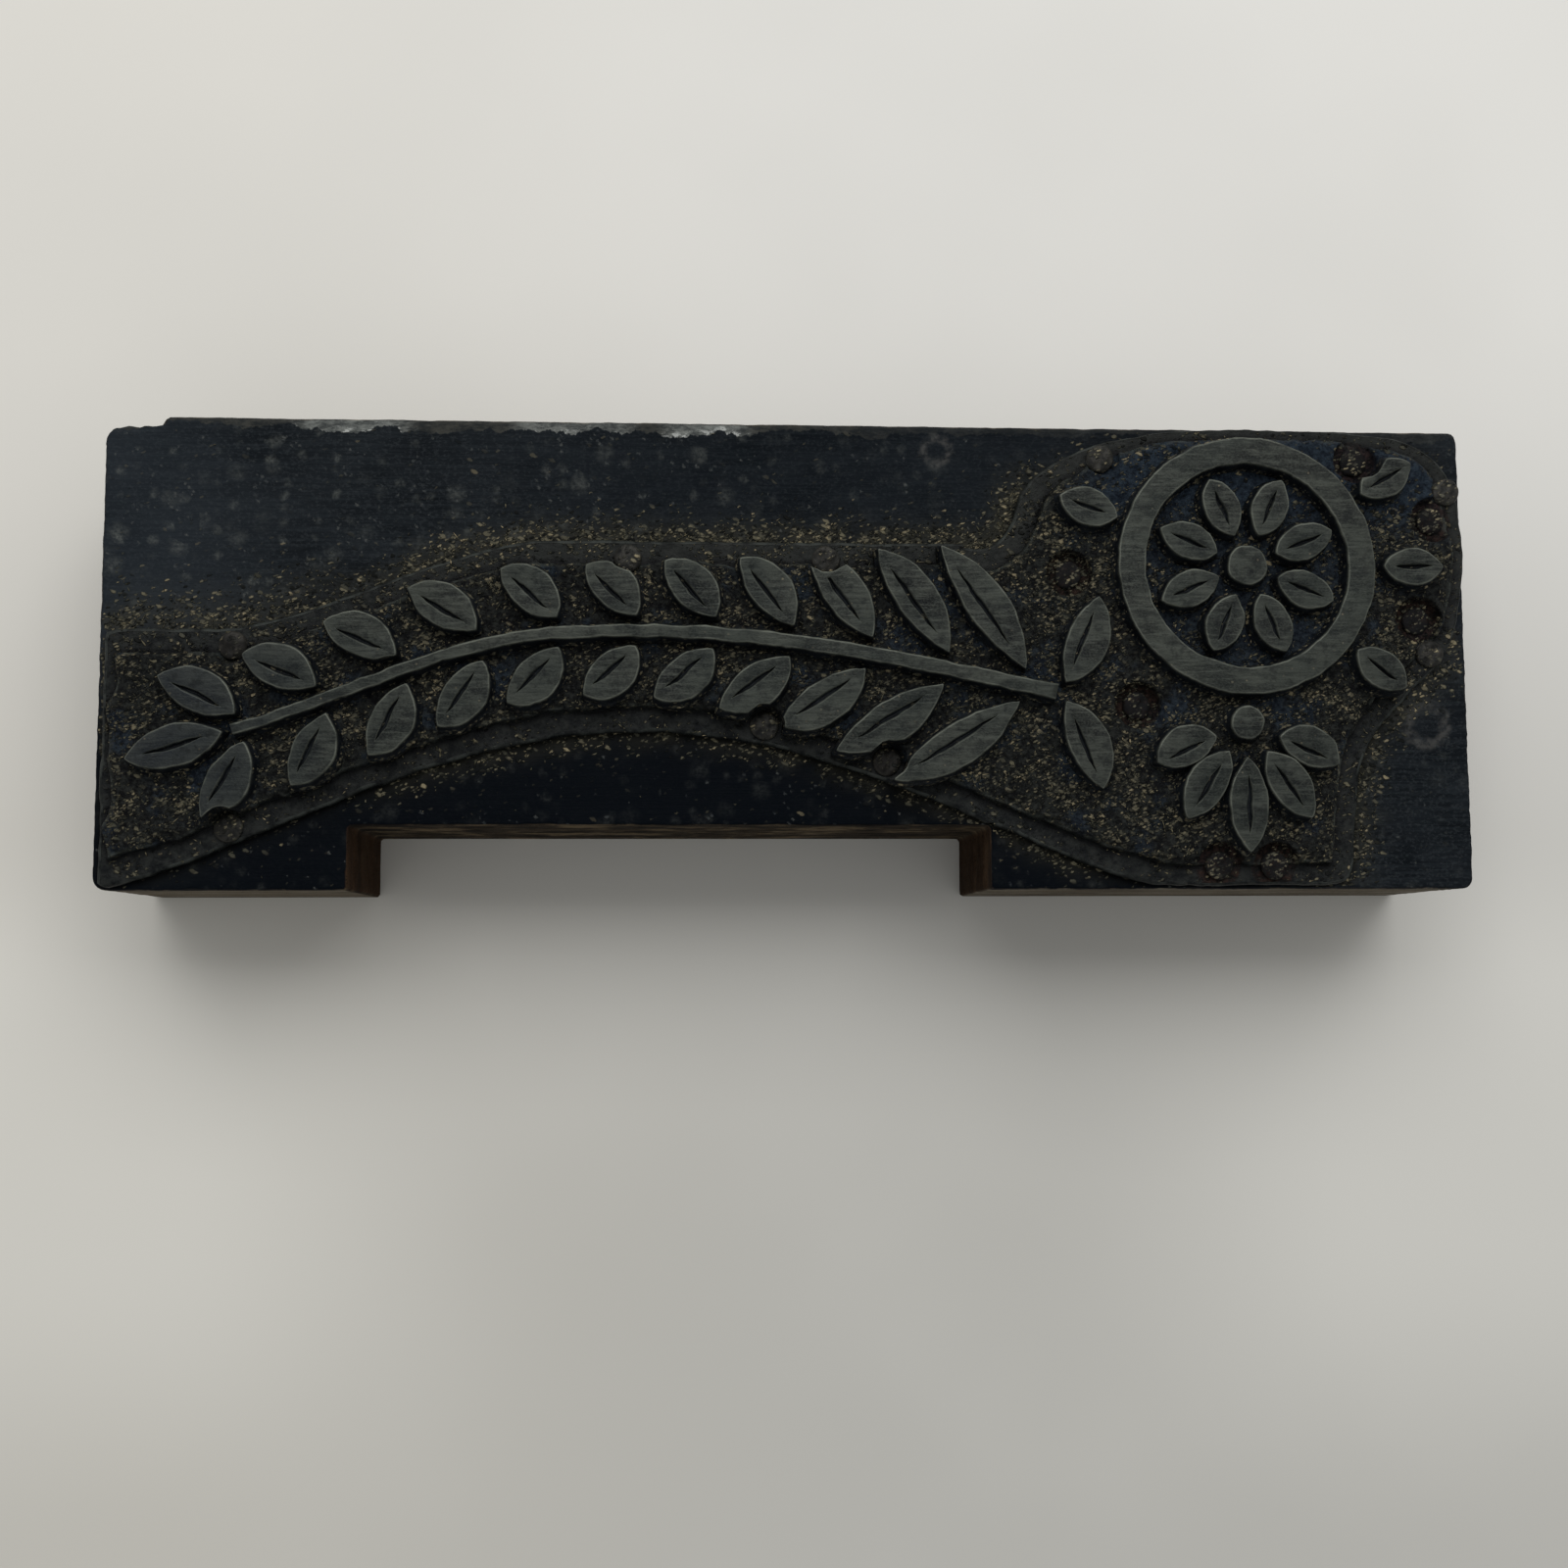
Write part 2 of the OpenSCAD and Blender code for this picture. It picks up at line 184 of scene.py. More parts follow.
class Surface:
    """Gathers grids of points and makes them into one mesh object."""

    def __init__(self, *marks):
        self.points, self.faces, self.count = [], [], 0
        self.marks = {m: [] for m in marks}

    def add(self, points, faces, **marks):
        """Adds points and faces; each mark is one number, or one for every point."""
        points = np.asarray(points, float).reshape(-1, 3)
        self.points.append(points)
        self.faces += [(np.asarray(f) + self.count).tolist() for f in faces if len(f)]
        self.count += len(points)
        for m, values in self.marks.items():
            values.append(np.broadcast_to(np.ravel(marks.get(m, 0.0)), len(points)))

    def loft(self, rings, low_cap=False, high_cap=False, **marks):
        """Joins closed rings of n points; a mark is one number, or one for each ring or point."""
        rings = np.asarray(rings, float)
        m, n = rings.shape[:2]
        k, i = np.meshgrid(np.arange(m - 1), np.arange(n), indexing="ij")
        j = (i + 1) % n
        quads = np.stack([k * n + i, k * n + j, (k + 1) * n + j, (k + 1) * n + i], -1)
        a = np.arange(n // 2 - 1)
        strip = np.stack([a, n - 1 - a, n - 2 - a, a + 1], 1)
        caps = [strip] if low_cap else []
        if high_cap:
            caps.append(strip[:, ::-1] + (m - 1) * n)
        wide = {}
        for key, value in marks.items():
            value = np.asarray(value, float)
            wide[key] = np.broadcast_to(value if value.ndim == 2 else value.reshape(-1, 1), (m, n))
        self.add(rings, [quads.reshape(-1, 4)] + caps, **wide)

    def build(self, name, weld=0.002):
        """Makes the mesh object in metres, joins doubled points and keeps the marks."""
        mesh = bpy.data.meshes.new(name)
        points = np.concatenate(self.points) * MM
        faces = [face for block in self.faces for face in block]
        mesh.from_pydata(points.tolist(), [], faces)
        for m, values in self.marks.items():
            values = np.concatenate(values).astype(np.float32)
            mesh.attributes.new(m, "FLOAT", "POINT").data.foreach_set("value", values)
        if weld:
            work = bmesh.new()
            work.from_mesh(mesh)
            bmesh.ops.remove_doubles(work, verts=work.verts, dist=weld * MM)
            work.to_mesh(mesh)
            work.free()
        mesh.polygons.foreach_set("use_smooth", np.ones(len(mesh.polygons), bool))
        piece = in_scene(name, mesh)
        mesh.calc_loop_triangles()
        print(name, "points", len(mesh.vertices), "triangles", len(mesh.loop_triangles))
        return piece


def sheet_inside(loop, step, seed, extra=None, keep=None):
    """Triangles that fill a loop: scattered grid points inside it, joined to the loop."""
    r = np.random.default_rng(seed)
    low, high = loop.min(0), loop.max(0)
    x, y = np.meshgrid(np.arange(low[0], high[0], step), np.arange(low[1], high[1], step))
    p = np.stack([x.ravel(), y.ravel()], 1) + r.uniform(-0.3, 0.3, (x.size, 2)) * step
    p = p[inside(p, loop)]
    p = p[distance_to(p, loop) > step * 0.6]
    if keep is not None:
        p = p[keep(p)]
    if extra is not None:
        p = np.concatenate([p, extra])
    n = len(loop)
    points = [Vector(q) for q in np.concatenate([loop, p]).tolist()]
    edges = [(i, (i + 1) % n) for i in range(n)]
    out, _, faces, _, _, _ = geometry.delaunay_2d_cdt(points, edges, [], 1, 1e-6)
    return np.array([q[:] for q in out]), faces


# %% [markdown]
# ## The outline of the plate
#
# Seen from above, the plate is an arched band that ends in a lobe. Its lower edge is a
# power of a sine, its upper edge a smooth step, and the lobe a curve through a few knots.
# The same functions, set back by some distance, give the edge of the thicker floor.

# %% Outline functions
# Depth of the band at its left end and at its crown, and how far it is level and climbs
end_h, crown_h, level_w, climb_w = 23.4, 31.9, 9, 32
arch_rise, arch_span, edge_step = 14.1, 95, 0.3
arch_x0 = left_x + 1.3
arch_x1 = arch_x0 + arch_span

# Each knot: share of the lobe's width from the right end, share of the plate's depth from
# the back, and the way in from the edge along X and Y
LOBE_KNOTS = np.array([
    [1.03, 0.268, 0, -1],
    [0.98, 0.264, 0.3, -0.95],
    [0.937, 0.218, 0.75, -0.65],
    [0.912, 0.14, 0.95, -0.3],
    [0.84, 0.073, 0.6, -0.7],
    [0.72, 0.025, 0.2, -0.6],
    [0.55, 0.001, 0, -0.5],
    [0.3, 0, 0, -0.5],
    [0.13, 0.018, -0.2, -0.6],
    [0.035, 0.078, -0.55, -0.5],
    [0.002, 0.2, -0.6, -0.1],
    [0.004, 0.36, -0.6, 0.05],
    [0.043, 0.495, -0.7, 0.4],
    [0.122, 0.588, -0.75, 0.6],
    [0.195, 0.672, -0.85, 0.5],
    [0.23, 0.767, -0.95, 0.15],
    [0.241, 0.871, -1, 0],
    [0.252, 0.972, -0.95, 0.35],
    [0.283, 1, -0.75, 0.85],
])


def arch_y(x):
    """Height of the lower edge: foot line plus the rise times sine to the power 1.25."""
    t = np.clip((x - arch_x0) / (arch_x1 - arch_x0), 0, 1)
    return foot_y + arch_rise * np.sin(np.pi * t) ** 1.25


def band_y(x):
    """Height of the upper edge: a smooth step from the left end up to the crown."""
    return foot_y + mix(end_h, crown_h, smooth((x - left_x - level_w) / climb_w))


def band_middle(x):
    """Height of the middle line, halfway between the two edges of the band."""
    return (band_y(x) + arch_y(x)) / 2


def lobe_curve(u, inset):
    """A Catmull-Rom curve through the knots of the lobe, set back along each knot's way in."""
    k = LOBE_KNOTS
    p = np.stack([right_x - k[:, 0] * lobe_w + k[:, 2] * inset,
                  back_y - k[:, 1] * 2 * back_y + k[:, 3] * inset], 1)
    last = len(p) - 1
    i = np.minimum(np.floor(u).astype(int), last - 1)
    t = (u - i)[:, None]
    a, b, c, d = p[np.maximum(i - 1, 0)], p[i], p[i + 1], p[np.minimum(i + 2, last)]
    return 0.5 * (2 * b + (c - a) * t + (2 * a - 5 * b + 4 * c - d) * t ** 2
                  + (3 * b - a - 3 * c + d) * t ** 3)


def on_the_block(points, gap):
    """Moves points that lie over the notch or past a rounded corner back on to the block."""
    p = points.copy()
    over = (p[:, 0] > notch_left - gap) & (p[:, 0] < notch_right + gap)
    p[over, 1] = np.maximum(p[over, 1], notch_back + gap)
    centre = np.array([block_w / 2, block_d / 2]) - gap - corner_r
    out = np.maximum(np.abs(p) - centre, 0)
    reach = np.hypot(out[:, 0], out[:, 1])
    past = (reach > corner_r) & (out.min(1) > 0)
    shrink = (corner_r / np.maximum(reach, corner_r))[:, None]
    p[past] = (np.sign(p) * (centre + out * shrink))[past]
    return p


def outline(inset):
    """Points round the plate, anticlockwise from its left foot, set back by inset."""
    x0 = left_x + 0.4 + inset
    y_foot = foot_y + 0.85 * inset
    x = np.linspace(x0, arch_x1, 420)
    lower = np.stack([x, np.maximum(arch_y(x) + inset, y_foot)], 1)
    lobe = lobe_curve(np.linspace(len(LOBE_KNOTS) - 1, 0, 520), inset)
    foot = np.linspace([arch_x1 + 0.5, y_foot], [lobe[0, 0] - 0.5, y_foot], 60)
    x = np.linspace(lobe[-1, 0], x0 + 0.8, 320)[1:]
    upper = np.stack([x, band_y(x) - inset], 1)
    corner = [[x0 + 0.2, band_y(x0) - inset - 0.3], [x0, band_y(x0) - inset - 0.9]]
    left = np.linspace(corner[1], lower[0], 80)[1:-1]
    points = np.concatenate([lower, foot, lobe, upper, corner, left])
    return on_the_block(points, edge_gap + 0.5 * min(inset / flange_w, 1))


plate_edge = resample(outline(0), edge_step)
print("points round the plate:", len(plate_edge), "length", round(len(plate_edge) * edge_step), "mm")

# %% [markdown]
# ## Places of the nails
#
# The places of the nails come from the loaded model: the middles of their separate heads.
# Some stand on the thin flange, and each of these has a round spot cut clear for its head.
# The others are sunk in pits that were bored into the floor. Where a leaf of the ornament
# comes close to a nail, a bite is taken out of the leaf.

# %% Nail places
head_r = 1.35
spot_gap, pit_gap, pit_floor_t = 0.35, 0.75, 1.1
spot_r, pit_r = head_r + spot_gap, head_r + pit_gap
pit_z = wood_top + pit_floor_t


def heads(node):
    """Middle of each separate nail of a node, read off the tops of their heads."""
    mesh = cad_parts[node].data
    co = np.array([v.co[:] for v in mesh.vertices]) / MM
    places = []
    for p in co[co[:, 2] > co[:, 2].max() - 0.02, :2]:
        if not any(np.hypot(*(p - q)) < 1 for q in places):
            places.append(p)
    return np.array(places)


flange_nails = heads("flange_nails")
pit_nails = heads("pit_nails")
nail_rooms = [(p, spot_r) for p in flange_nails] + [(p, pit_r) for p in pit_nails]
print("nails on the flange:", len(flange_nails), "in pits:", len(pit_nails))

# %% [markdown]
# ## The wooden base
#
# The base is a small plank of close-grained hardwood, sawn and planed to size, with a notch
# sawn out of its front. Years of handling have rounded its edges, most of all along the
# back, and a splinter has broken off at the back left corner. The sides are rings of
# points that follow the plan, and near an edge each ring is set back a little further. The
# amount changes along the edge, so that no edge is a perfect bevel.

# %% Plan of the base


def rounded(corners, radii, steps=9):
    """A closed loop through square corners, each replaced by a quarter of a circle."""
    parts = []
    for i, (corner, r) in enumerate(zip(corners, radii)):
        before, after = corners[i - 1] - corner, corners[(i + 1) % len(corners)] - corner
        a, b = before / np.linalg.norm(before), after / np.linalg.norm(after)
        t = np.linspace(0, np.pi / 2, steps)[:, None]
        parts.append(corner + r * (a + b) - r * (b * np.cos(t) + a * np.sin(t)))
    return np.concatenate(parts)


base_corners = np.array([
    [-half_w, -half_d], [notch_left, -half_d], [notch_left, notch_back],
    [notch_right, notch_back], [notch_right, -half_d], [half_w, -half_d],
    [half_w, half_d], [-half_w, half_d],
])
base_radii = [1.2, 0.3, 0.35, 0.35, 0.3, 1.0, 0.7, corner_r]
base_plan = resample(rounded(base_corners, base_radii), 0.36)
base_out = normals_of(base_plan)
print("points round the base:", len(base_plan))

# %% Wear of its edges

# Rubbed places along the back edge: middle, half length, how strong
RUBBED = ((-41, 6.2, 1.0), (-20.7, 6.5, 0.85), (-8.4, 5, 1.0))


def rubbed(p):
    """How far the worn band along the back edge is rubbed bare: patches with soft ends."""
    patch = sum(smooth((half - np.abs(p[:, 0] - middle)) / 2.5) * amount
                for middle, half, amount in RUBBED)
    return patch * (p[:, 1] > half_d - 3)


def edge_wear(plan, out):
    """Set-back of the top edge: a slow ripple, wider along the back, with a few dents."""
    r = np.random.default_rng(11)
    worn = 0.22 + 0.05 * ripple(plan, 5, 1) + 0.03 * ripple(plan, 1.2, 2)
    back = smooth((plan[:, 1] - half_d + 1.5) / 1.2)
    worn += back * (0.26 + 0.08 * ripple(plan, 9, 3) + 0.04 * ripple(plan, 1.7, 4))
    ends = smooth((np.abs(out[:, 0]) - 0.6) / 0.3)
    worn += ends * (0.04 + 0.07 * ripple(plan, 1.1, 5))
    for k in r.integers(0, len(plan), 22):
        far = np.linalg.norm(plan - plan[k], axis=1)
        worn += r.uniform(0.05, 0.25) * np.exp(-(far / r.uniform(0.4, 1.2)) ** 2)
    return np.clip(worn, 0.1, 0.8)


def chipped(points):
    """Pushes points out of the splintered corner: deepest on top, fading down the back."""
    p = points.copy()
    x = p[..., 0] + half_w
    along = smooth((chip_w - x + 0.25 * ripple(p[..., 2:], 2, 6)) / 0.45)
    corner = corner_r - np.sqrt(corner_r ** 2 - np.clip(corner_r - x, 0, corner_r) ** 2)
    deep = mix(chip_d * 1.4, chip_d, np.clip(x / chip_w, 0, 1)) + corner
    down = (wood_top - p[..., 2]) / (chip_h * (1 - 0.35 * np.clip(x / chip_w, 0, 1)))
    fade = 1 - smooth(down) ** 0.8
    limit = half_d - deep * along * fade * (1 + 0.1 * ripple(p, 1.3, 7))
    p[..., 1] = np.minimum(p[..., 1], limit)
    return p


top_wear = edge_wear(base_plan, base_out)
low_wear = 0.25 + 0.08 * np.abs(ripple(base_plan, 4, 8))
print("edge wear from", round(top_wear.min(), 2), "to", round(top_wear.max(), 2), "mm")

# %% Sides, underside and top of the base
in_notch = np.abs(base_plan[:, 0] - (notch_left + notch_right) / 2) < notch_w / 2 + 0.3
in_notch &= base_plan[:, 1] < notch_back + 0.2
end_grain = smooth((np.abs(base_out[:, 0]) - 0.5) / 0.3)


def base_ring(inset, z):
    """A ring round the base: the plan set back by inset, at height z."""
    z = np.broadcast_to(z, len(base_plan))
    return np.column_stack([base_plan - base_out * np.reshape(inset, (-1, 1)), z])


def base_rings():
    """Rings from the underside up: a worn edge, fine saw marks on the sides, a worn edge."""
    rings, top = [], []
    for a in np.radians([90, 60, 30]):
        rings.append(base_ring(low_wear * (1 - np.cos(a)), low_wear * (1 - np.sin(a))))
        top.append(0)
    for t in np.linspace(0, 1, 26):
        z = mix(low_wear, wood_top - top_wear, t)
        place = np.column_stack([base_plan, z])
        marks = 0.02 + 0.02 * ripple(place * [1, 1, 6], 7, 9) + 0.012 * ripple(place, 0.9, 10)
        rings.append(base_ring(np.maximum(marks, 0) * min(1, 6 * min(t, 1 - t)), z))
        top.append(0)
    for a in np.radians([20, 40, 60, 76, 90]):
        rings.append(base_ring(top_wear * (1 - np.cos(a)), wood_top - top_wear * (1 - np.sin(a))))
        top.append(smooth(a / 1.4))
    return chipped(np.array(rings)), np.array(top)


side_rings, side_top = base_rings()
every = np.ones(len(side_rings))
base = Surface("top", "end", "notch", "wear", "dust", "corner")
base.loft(side_rings, top=side_top, end=np.outer(every, end_grain),
          notch=np.outer(every, in_notch), wear=np.outer(side_top > 0, rubbed(base_plan)))

low_sheet, low_faces = sheet_inside(side_rings[0, :, :2], 2.5, 12)
base.add(np.column_stack([low_sheet, np.zeros(len(low_sheet))]), [[f[::-1] for f in low_faces]])
wood_edge = side_rings[-1, :, :2]
top_sheet, top_faces = sheet_inside(wood_edge, 0.62, 13)

# %% [markdown]
# The top of the base is covered with old ink. It carries wood dust next to the plate, most
# of it along the upper edge of the arch, where a brush doesn't reach. Below the plate, a
# nearly black painted shadow lies where the wood meets the metal. Numbers on each point
# say how much of each lies there.

# %% Dust beside the plate, and a painted shadow below it


def dust_on_wood(p):
    """How dusty the wood is: falls off away from the plate, more above the arch's crown."""
    # The numbers are places on the real block and the widths of soft ends, in millimetres
    x, y = p.T
    above = y > band_middle(x)
    crown = smooth((x + 46) / 14) * smooth((22 - x) / 3) * above
    left = smooth((-38 - x) / 8) * above
    lobe_left = np.exp(-((x - 18.5) / 3.5) ** 2) * smooth((y - 8) / 2) * above
    under = 0.5 * ~above * smooth((36 - np.abs(x + 5)) / 6)
    right = 0.6 * smooth((x - 48) / 2) * (y < 3)
    reach = 1.3 + 0.5 * crown + 1.6 * left + 1.1 * right
    amount = 0.1 + crown + 0.75 * left + 0.8 * lobe_left + under + right
    patchy = 0.85 + 0.35 * ripple(p, 3.5, 21)
    fall = np.exp(-(distance_to(p, plate_edge) / reach) ** 1.9)
    return np.clip(amount * patchy, 0, 1.2) * fall


def painted_shadow_below_plate(p):
    """A painted shadow, nearly black, where the wood meets the front edge of the plate."""
    below = p[:, 1] < band_middle(p[:, 0])
    return 0.9 * below * np.exp(-(distance_to(p, plate_edge) / 0.45) ** 2)


top_far = distance_to(top_sheet, wood_edge)
grain_z = 0.012 * np.maximum(1 + ripple(top_sheet * [0.12, 1], 0.8, 14), 0) * smooth(top_far / 1.5)
# The corner mark carries a painted shadow on the wood below the front edge of the plate
base.add(np.column_stack([top_sheet, wood_top - grain_z]), [top_faces], top=1,
         dust=dust_on_wood(top_sheet), wear=rubbed(top_sheet), corner=painted_shadow_below_plate(top_sheet))
wood_base = base.build("wood_base")

# %% [markdown]
# ## Helpers for finishes
#
# A finish is a small tree of nodes. The patterns are laid out in millimetres of the object
# itself, so they stay put when the camera moves. These helpers keep each finish readable:
# add a noise, turn it into a mask, and lay tones over each other by such masks, the way
# ink, dirt and wear came on top of each other on the real block.

# %% Finish helpers


def shade(red, green, blue):
    """A colour given as on a screen, from 0 to 255, as the linear values that nodes use."""
    v = np.array([red, green, blue]) / 255
    linear = np.where(v <= 0.04045, v / 12.92, ((v + 0.055) / 1.055) ** 2.4)
    return (*linear.tolist(), 1.0)


class Finish:
    """A material whose nodes are added one by one; every pattern is in millimetres."""

    def __init__(self, name, **constants):
        self.material = bpy.data.materials.new(name)
        self.material.use_nodes = True
        self.tree = self.material.node_tree
        self.shader = self.tree.nodes["Principled BSDF"]
        for socket, value in constants.items():
            self.shader.inputs[socket.replace("_", " ")].default_value = value
        self.mm = self.scaled(self.add("ShaderNodeTexCoord").outputs["Object"], (1000, 1000, 1000))

    def add(self, kind, inputs=None, **settings):
        """Adds a node, sets its options, and wires or sets its inputs."""
        node = self.tree.nodes.new(kind)
        for key, value in settings.items():
            setattr(node, key, value)
        for key, value in (inputs or {}).items():
            if isinstance(value, bpy.types.NodeSocket):
                self.tree.links.new(value, node.inputs[key])
            else:
                node.inputs[key].default_value = value
        return node

    def scaled(self, vector, by):
        """A vector with each of its coordinates multiplied by its own number."""
        return self.add("ShaderNodeVectorMath", {0: vector, 1: by},
                        operation="MULTIPLY").outputs[0]

    def maths(self, operation, first, *others):
        """Arithmetic on two or more numbers, one after the other."""
        for other in others:
            first = self.add("ShaderNodeMath", {0: first, 1: other}, operation=operation).outputs[0]
        return first

    def times(self, *numbers):
        """The product of numbers."""
        return self.maths("MULTIPLY", *numbers)

    def plus(self, *numbers):
        """The sum of numbers."""
        return self.maths("ADD", *numbers)

    def minus(self, a, b):
        """The first number less the second."""
        return self.maths("SUBTRACT", a, b)

    def noise(self, size, detail=3.0, rough=0.55, stretch=(1, 1, 1)):
        """Cloudy noise with patches of about size millimetres."""
        return self.add("ShaderNodeTexNoise", {
            "Vector": self.scaled(self.mm, stretch), "Scale": 1 / size, "Detail": detail,
            "Roughness": rough}).outputs[0]

    def grains(self, size, stretch=(1, 1, 1), turn=0.0, ragged=0.0):
        """Scattered cells of about size millimetres, turned about Z by turn degrees and
        stretched: how far their middle is, and two dice for each."""
        turned = self.add("ShaderNodeVectorRotate",
                          {"Vector": self.mm, "Angle": math.radians(turn)},
                          rotation_type="Z_AXIS").outputs[0]
        place = self.scaled(turned, stretch)
        if ragged:
            swirl = self.add("ShaderNodeTexNoise", {"Vector": self.mm, "Scale": 2.5 / size})
            shift = self.scaled(swirl.outputs["Color"], (ragged, ragged, ragged))
            place = self.add("ShaderNodeVectorMath", {0: place, 1: shift}).outputs[0]
        cell = self.add("ShaderNodeTexVoronoi", {"Vector": place, "Scale": 1 / size})
        dice = self.add("ShaderNodeSeparateXYZ", {0: cell.outputs["Color"]})
        return cell.outputs["Distance"], dice.outputs[0], dice.outputs[1]

    def mask(self, value, low, high, to_low=0.0, to_high=1.0):
        """A smooth step of a value, from to_low at low up to to_high at high."""
        return self.add("ShaderNodeMapRange", {
            "Value": value, "From Min": low, "From Max": high, "To Min": to_low,
            "To Max": to_high}, interpolation_type="SMOOTHSTEP").outputs[0]

    def colour(self, factor, a, b):
        """Mixes colour b over colour a by a factor; three plain numbers are a screen colour."""
        a, b = [shade(*c) if isinstance(c, tuple) else c for c in (a, b)]
        return self.add("ShaderNodeMix", {0: factor, 6: a, 7: b}, data_type="RGBA").outputs[2]

    def layers(self, under, *rows):
        """Lays tones over a colour one by one. Each row holds a value, where the smooth step
        of its mask begins and ends, how much of the tone shows at most, and the tone."""
        for value, low, high, most, tone in rows:
            under = self.colour(self.mask(value, low, high, 0, most), under, tone)
        return under

    def number(self, factor, a, b):
        """The number a share factor of the way from a to b."""
        return self.add("ShaderNodeMix", {0: factor, 2: a, 3: b}).outputs[0]

    def mark(self, name):
        """A number that the mesh carries on its points."""
        return self.add("ShaderNodeAttribute", attribute_name=name).outputs["Fac"]

    def part(self, axis):
        """One coordinate in millimetres: 0 along X, 1 along Y, 2 upwards."""
        return self.add("ShaderNodeSeparateXYZ", {0: self.mm}).outputs[axis]

    def wobbly_gap(self, place, size, amount):
        """Distance from a place in millimetres, with a wobble from noise."""
        gap = self.add("ShaderNodeVectorMath", {0: self.mm, 1: place},
                       operation="DISTANCE").outputs["Value"]
        return self.plus(gap, self.times(self.noise(size, 5), amount))

    def lump(self, place, radius):
        """A ragged spot round a place: 1 inside it, 0 outside."""
        return self.mask(self.wobbly_gap(place, 0.7, 1.6), radius + 1.0, radius + 0.7)

    def stain(self, x, y, radius, width):
        """A ring stain round a place on top of the wood: 1 on the ring, 0 off it."""
        off = self.minus(self.wobbly_gap((x, y, wood_top), 1.1, 1.4), radius + 0.7)
        return self.mask(self.maths("ABSOLUTE", off, 0), width, 0.0)

    def bump(self, height, distance, strength=1.0):
        """Bumps the surface by a height, in units of distance millimetres."""
        return self.add("ShaderNodeBump", {
            "Height": height, "Distance": distance * MM, "Strength": strength}).outputs[0]

    def wire(self, **outputs):
        """Joins the last outputs to the shader."""
        for socket, value in outputs.items():
            self.tree.links.new(value, self.shader.inputs[socket.replace("_", " ")])
        return self.material


def dress(piece, node, finish):
    """Gives a piece its finish, hangs it on the root body and hides the part that it replaces."""
    piece.data.materials.append(finish)
    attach(piece, "root")
    if node:
        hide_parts(node)


# %% [markdown]
# ### Grit
#
# Crumbs of fibre and dried ink stick to the wood, the floor, the shoulders of the figures
# and the nails alike, so one function strews them in three sizes. Each crumb has its own
# chance to be there and its own tone, from nearly black to the tan of clean fibre.

# %% Grit, shared by several finishes
GRIT_LAYERS = ((0.85, (1, 1.8, 1), 25), (0.6, (2.1, 1, 1), 70), (0.42, (1, 1.7, 1), -30))


def grit(f, ink, share):
    """Crumbs over a share of the surface: the colour with them on it, and their height."""
    height = 0.0
    for size, stretch, turn in GRIT_LAYERS:
        middle, chance, tone = f.grains(size, stretch, turn, ragged=0.45)
        there = f.times(f.mask(f.minus(share, chance), -0.03, 0.05), f.mask(middle, 0.5, 0.28))
        crumb = f.layers((20, 21, 20), (tone, 0.2, 0.6, 1, (66, 65, 56)),
                         (tone, 0.6, 0.85, 1, (92, 88, 73)),
                         (tone, 0.9, 0.99, 1, (126, 117, 94)))
        ink = f.colour(there, ink, crumb)
        height = f.maths("MAXIMUM", there, height)
    return ink, height


# %% [markdown]
# ### Inked wood
#
# The top is blue-black, almost like slate, and the fine grain still shows under the ink as
# thin lines along the block. Soft grey spots, small flecks and two ring stains lie on it,
# and grit beside the plate. Along the back edge runs a band that handling wore grey, with
# bare patches that carry painted highlights. The sides were never inked on purpose: ink ran
# a little way down, handling made them brown, and the end grain drank more of it and turned
# reddish. The sawn wood in the notch is painted darker as shade.

# %% Ink on the top of the wood


def ink_coat(f, lines, fine, patch):
    """Blue-black ink, cloudy and lined by the grain, and darker in front of the arch."""
    x, y = f.part(0), f.part(1)
    cloud = f.noise(8, 4, 0.6, (0.6, 1, 1))
    ink = f.layers((8, 12, 16), (cloud, 0.35, 0.65, 1, (22, 26, 30)),
                   (lines, 0.42, 0.68, 0.4, (36, 41, 45)), (fine, 0.48, 0.68, 0.5, (42, 46, 49)),
                   (patch, 0.55, 0.78, 0.35, (42, 46, 49)), (x, -44, -62, 0.35, (44, 50, 56)))
    in_middle = f.times(f.mask(x, -36, -12, 0, 0.4), f.mask(x, 44, 30))
    ink = f.colour(in_middle, ink, (8, 14, 20))
    in_front = f.times(f.mask(y, 4, -11), f.mask(x, 50, 42), 0.9)
    return f.colour(in_front, ink, (2, 5, 10))


def spotted(f, ink):
    """The ink with soft spots and flecks, most of them at the upper left, and ring stains."""
    upper_left = f.times(f.mask(f.part(0), 20, -30), f.mask(f.part(1), -2, 8))
    speckle = f.mask(f.noise(0.5, 5, 0.7), 0.36, 0.64, 0.15, 1)
    for size in (2.8, 1.5):
        middle, chance, _ = f.grains(size, ragged=0.75)
        spot = f.times(f.mask(middle, 0.46, 0.04), f.mask(chance, 0.4, 1),
                       f.number(upper_left, 0.35, 1.0), speckle, 0.42)
        ink = f.colour(spot, ink, (96, 99, 95))
    middle, chance, tone = f.grains(0.55, (1, 1.4, 1), 40, ragged=0.6)
    cluster = f.mask(f.noise(2.4, 3, 0.6), 0.46, 0.68, 0.01, 0.5)
    cluster = f.times(cluster, f.number(upper_left, 0.4, 1.0))
    fleck = f.mask(f.minus(cluster, chance), -0.02, 0.05)
    fleck = f.times(fleck, f.mask(middle, 0.5, 0.05, 0, 0.75))
    ink = f.colour(fleck, ink, f.colour(tone, (44, 48, 51), (78, 80, 78)))
    rings = f.maths("MAXIMUM", f.stain(13.3, 19.4, 1.2, 0.6), f.stain(59.6, -6.5, 1.8, 0.9))
    rings = f.times(rings, f.mask(f.noise(0.6, 4), 0.35, 0.65, 0.03, 0.25))
    return f.colour(rings, ink, (106, 104, 100))


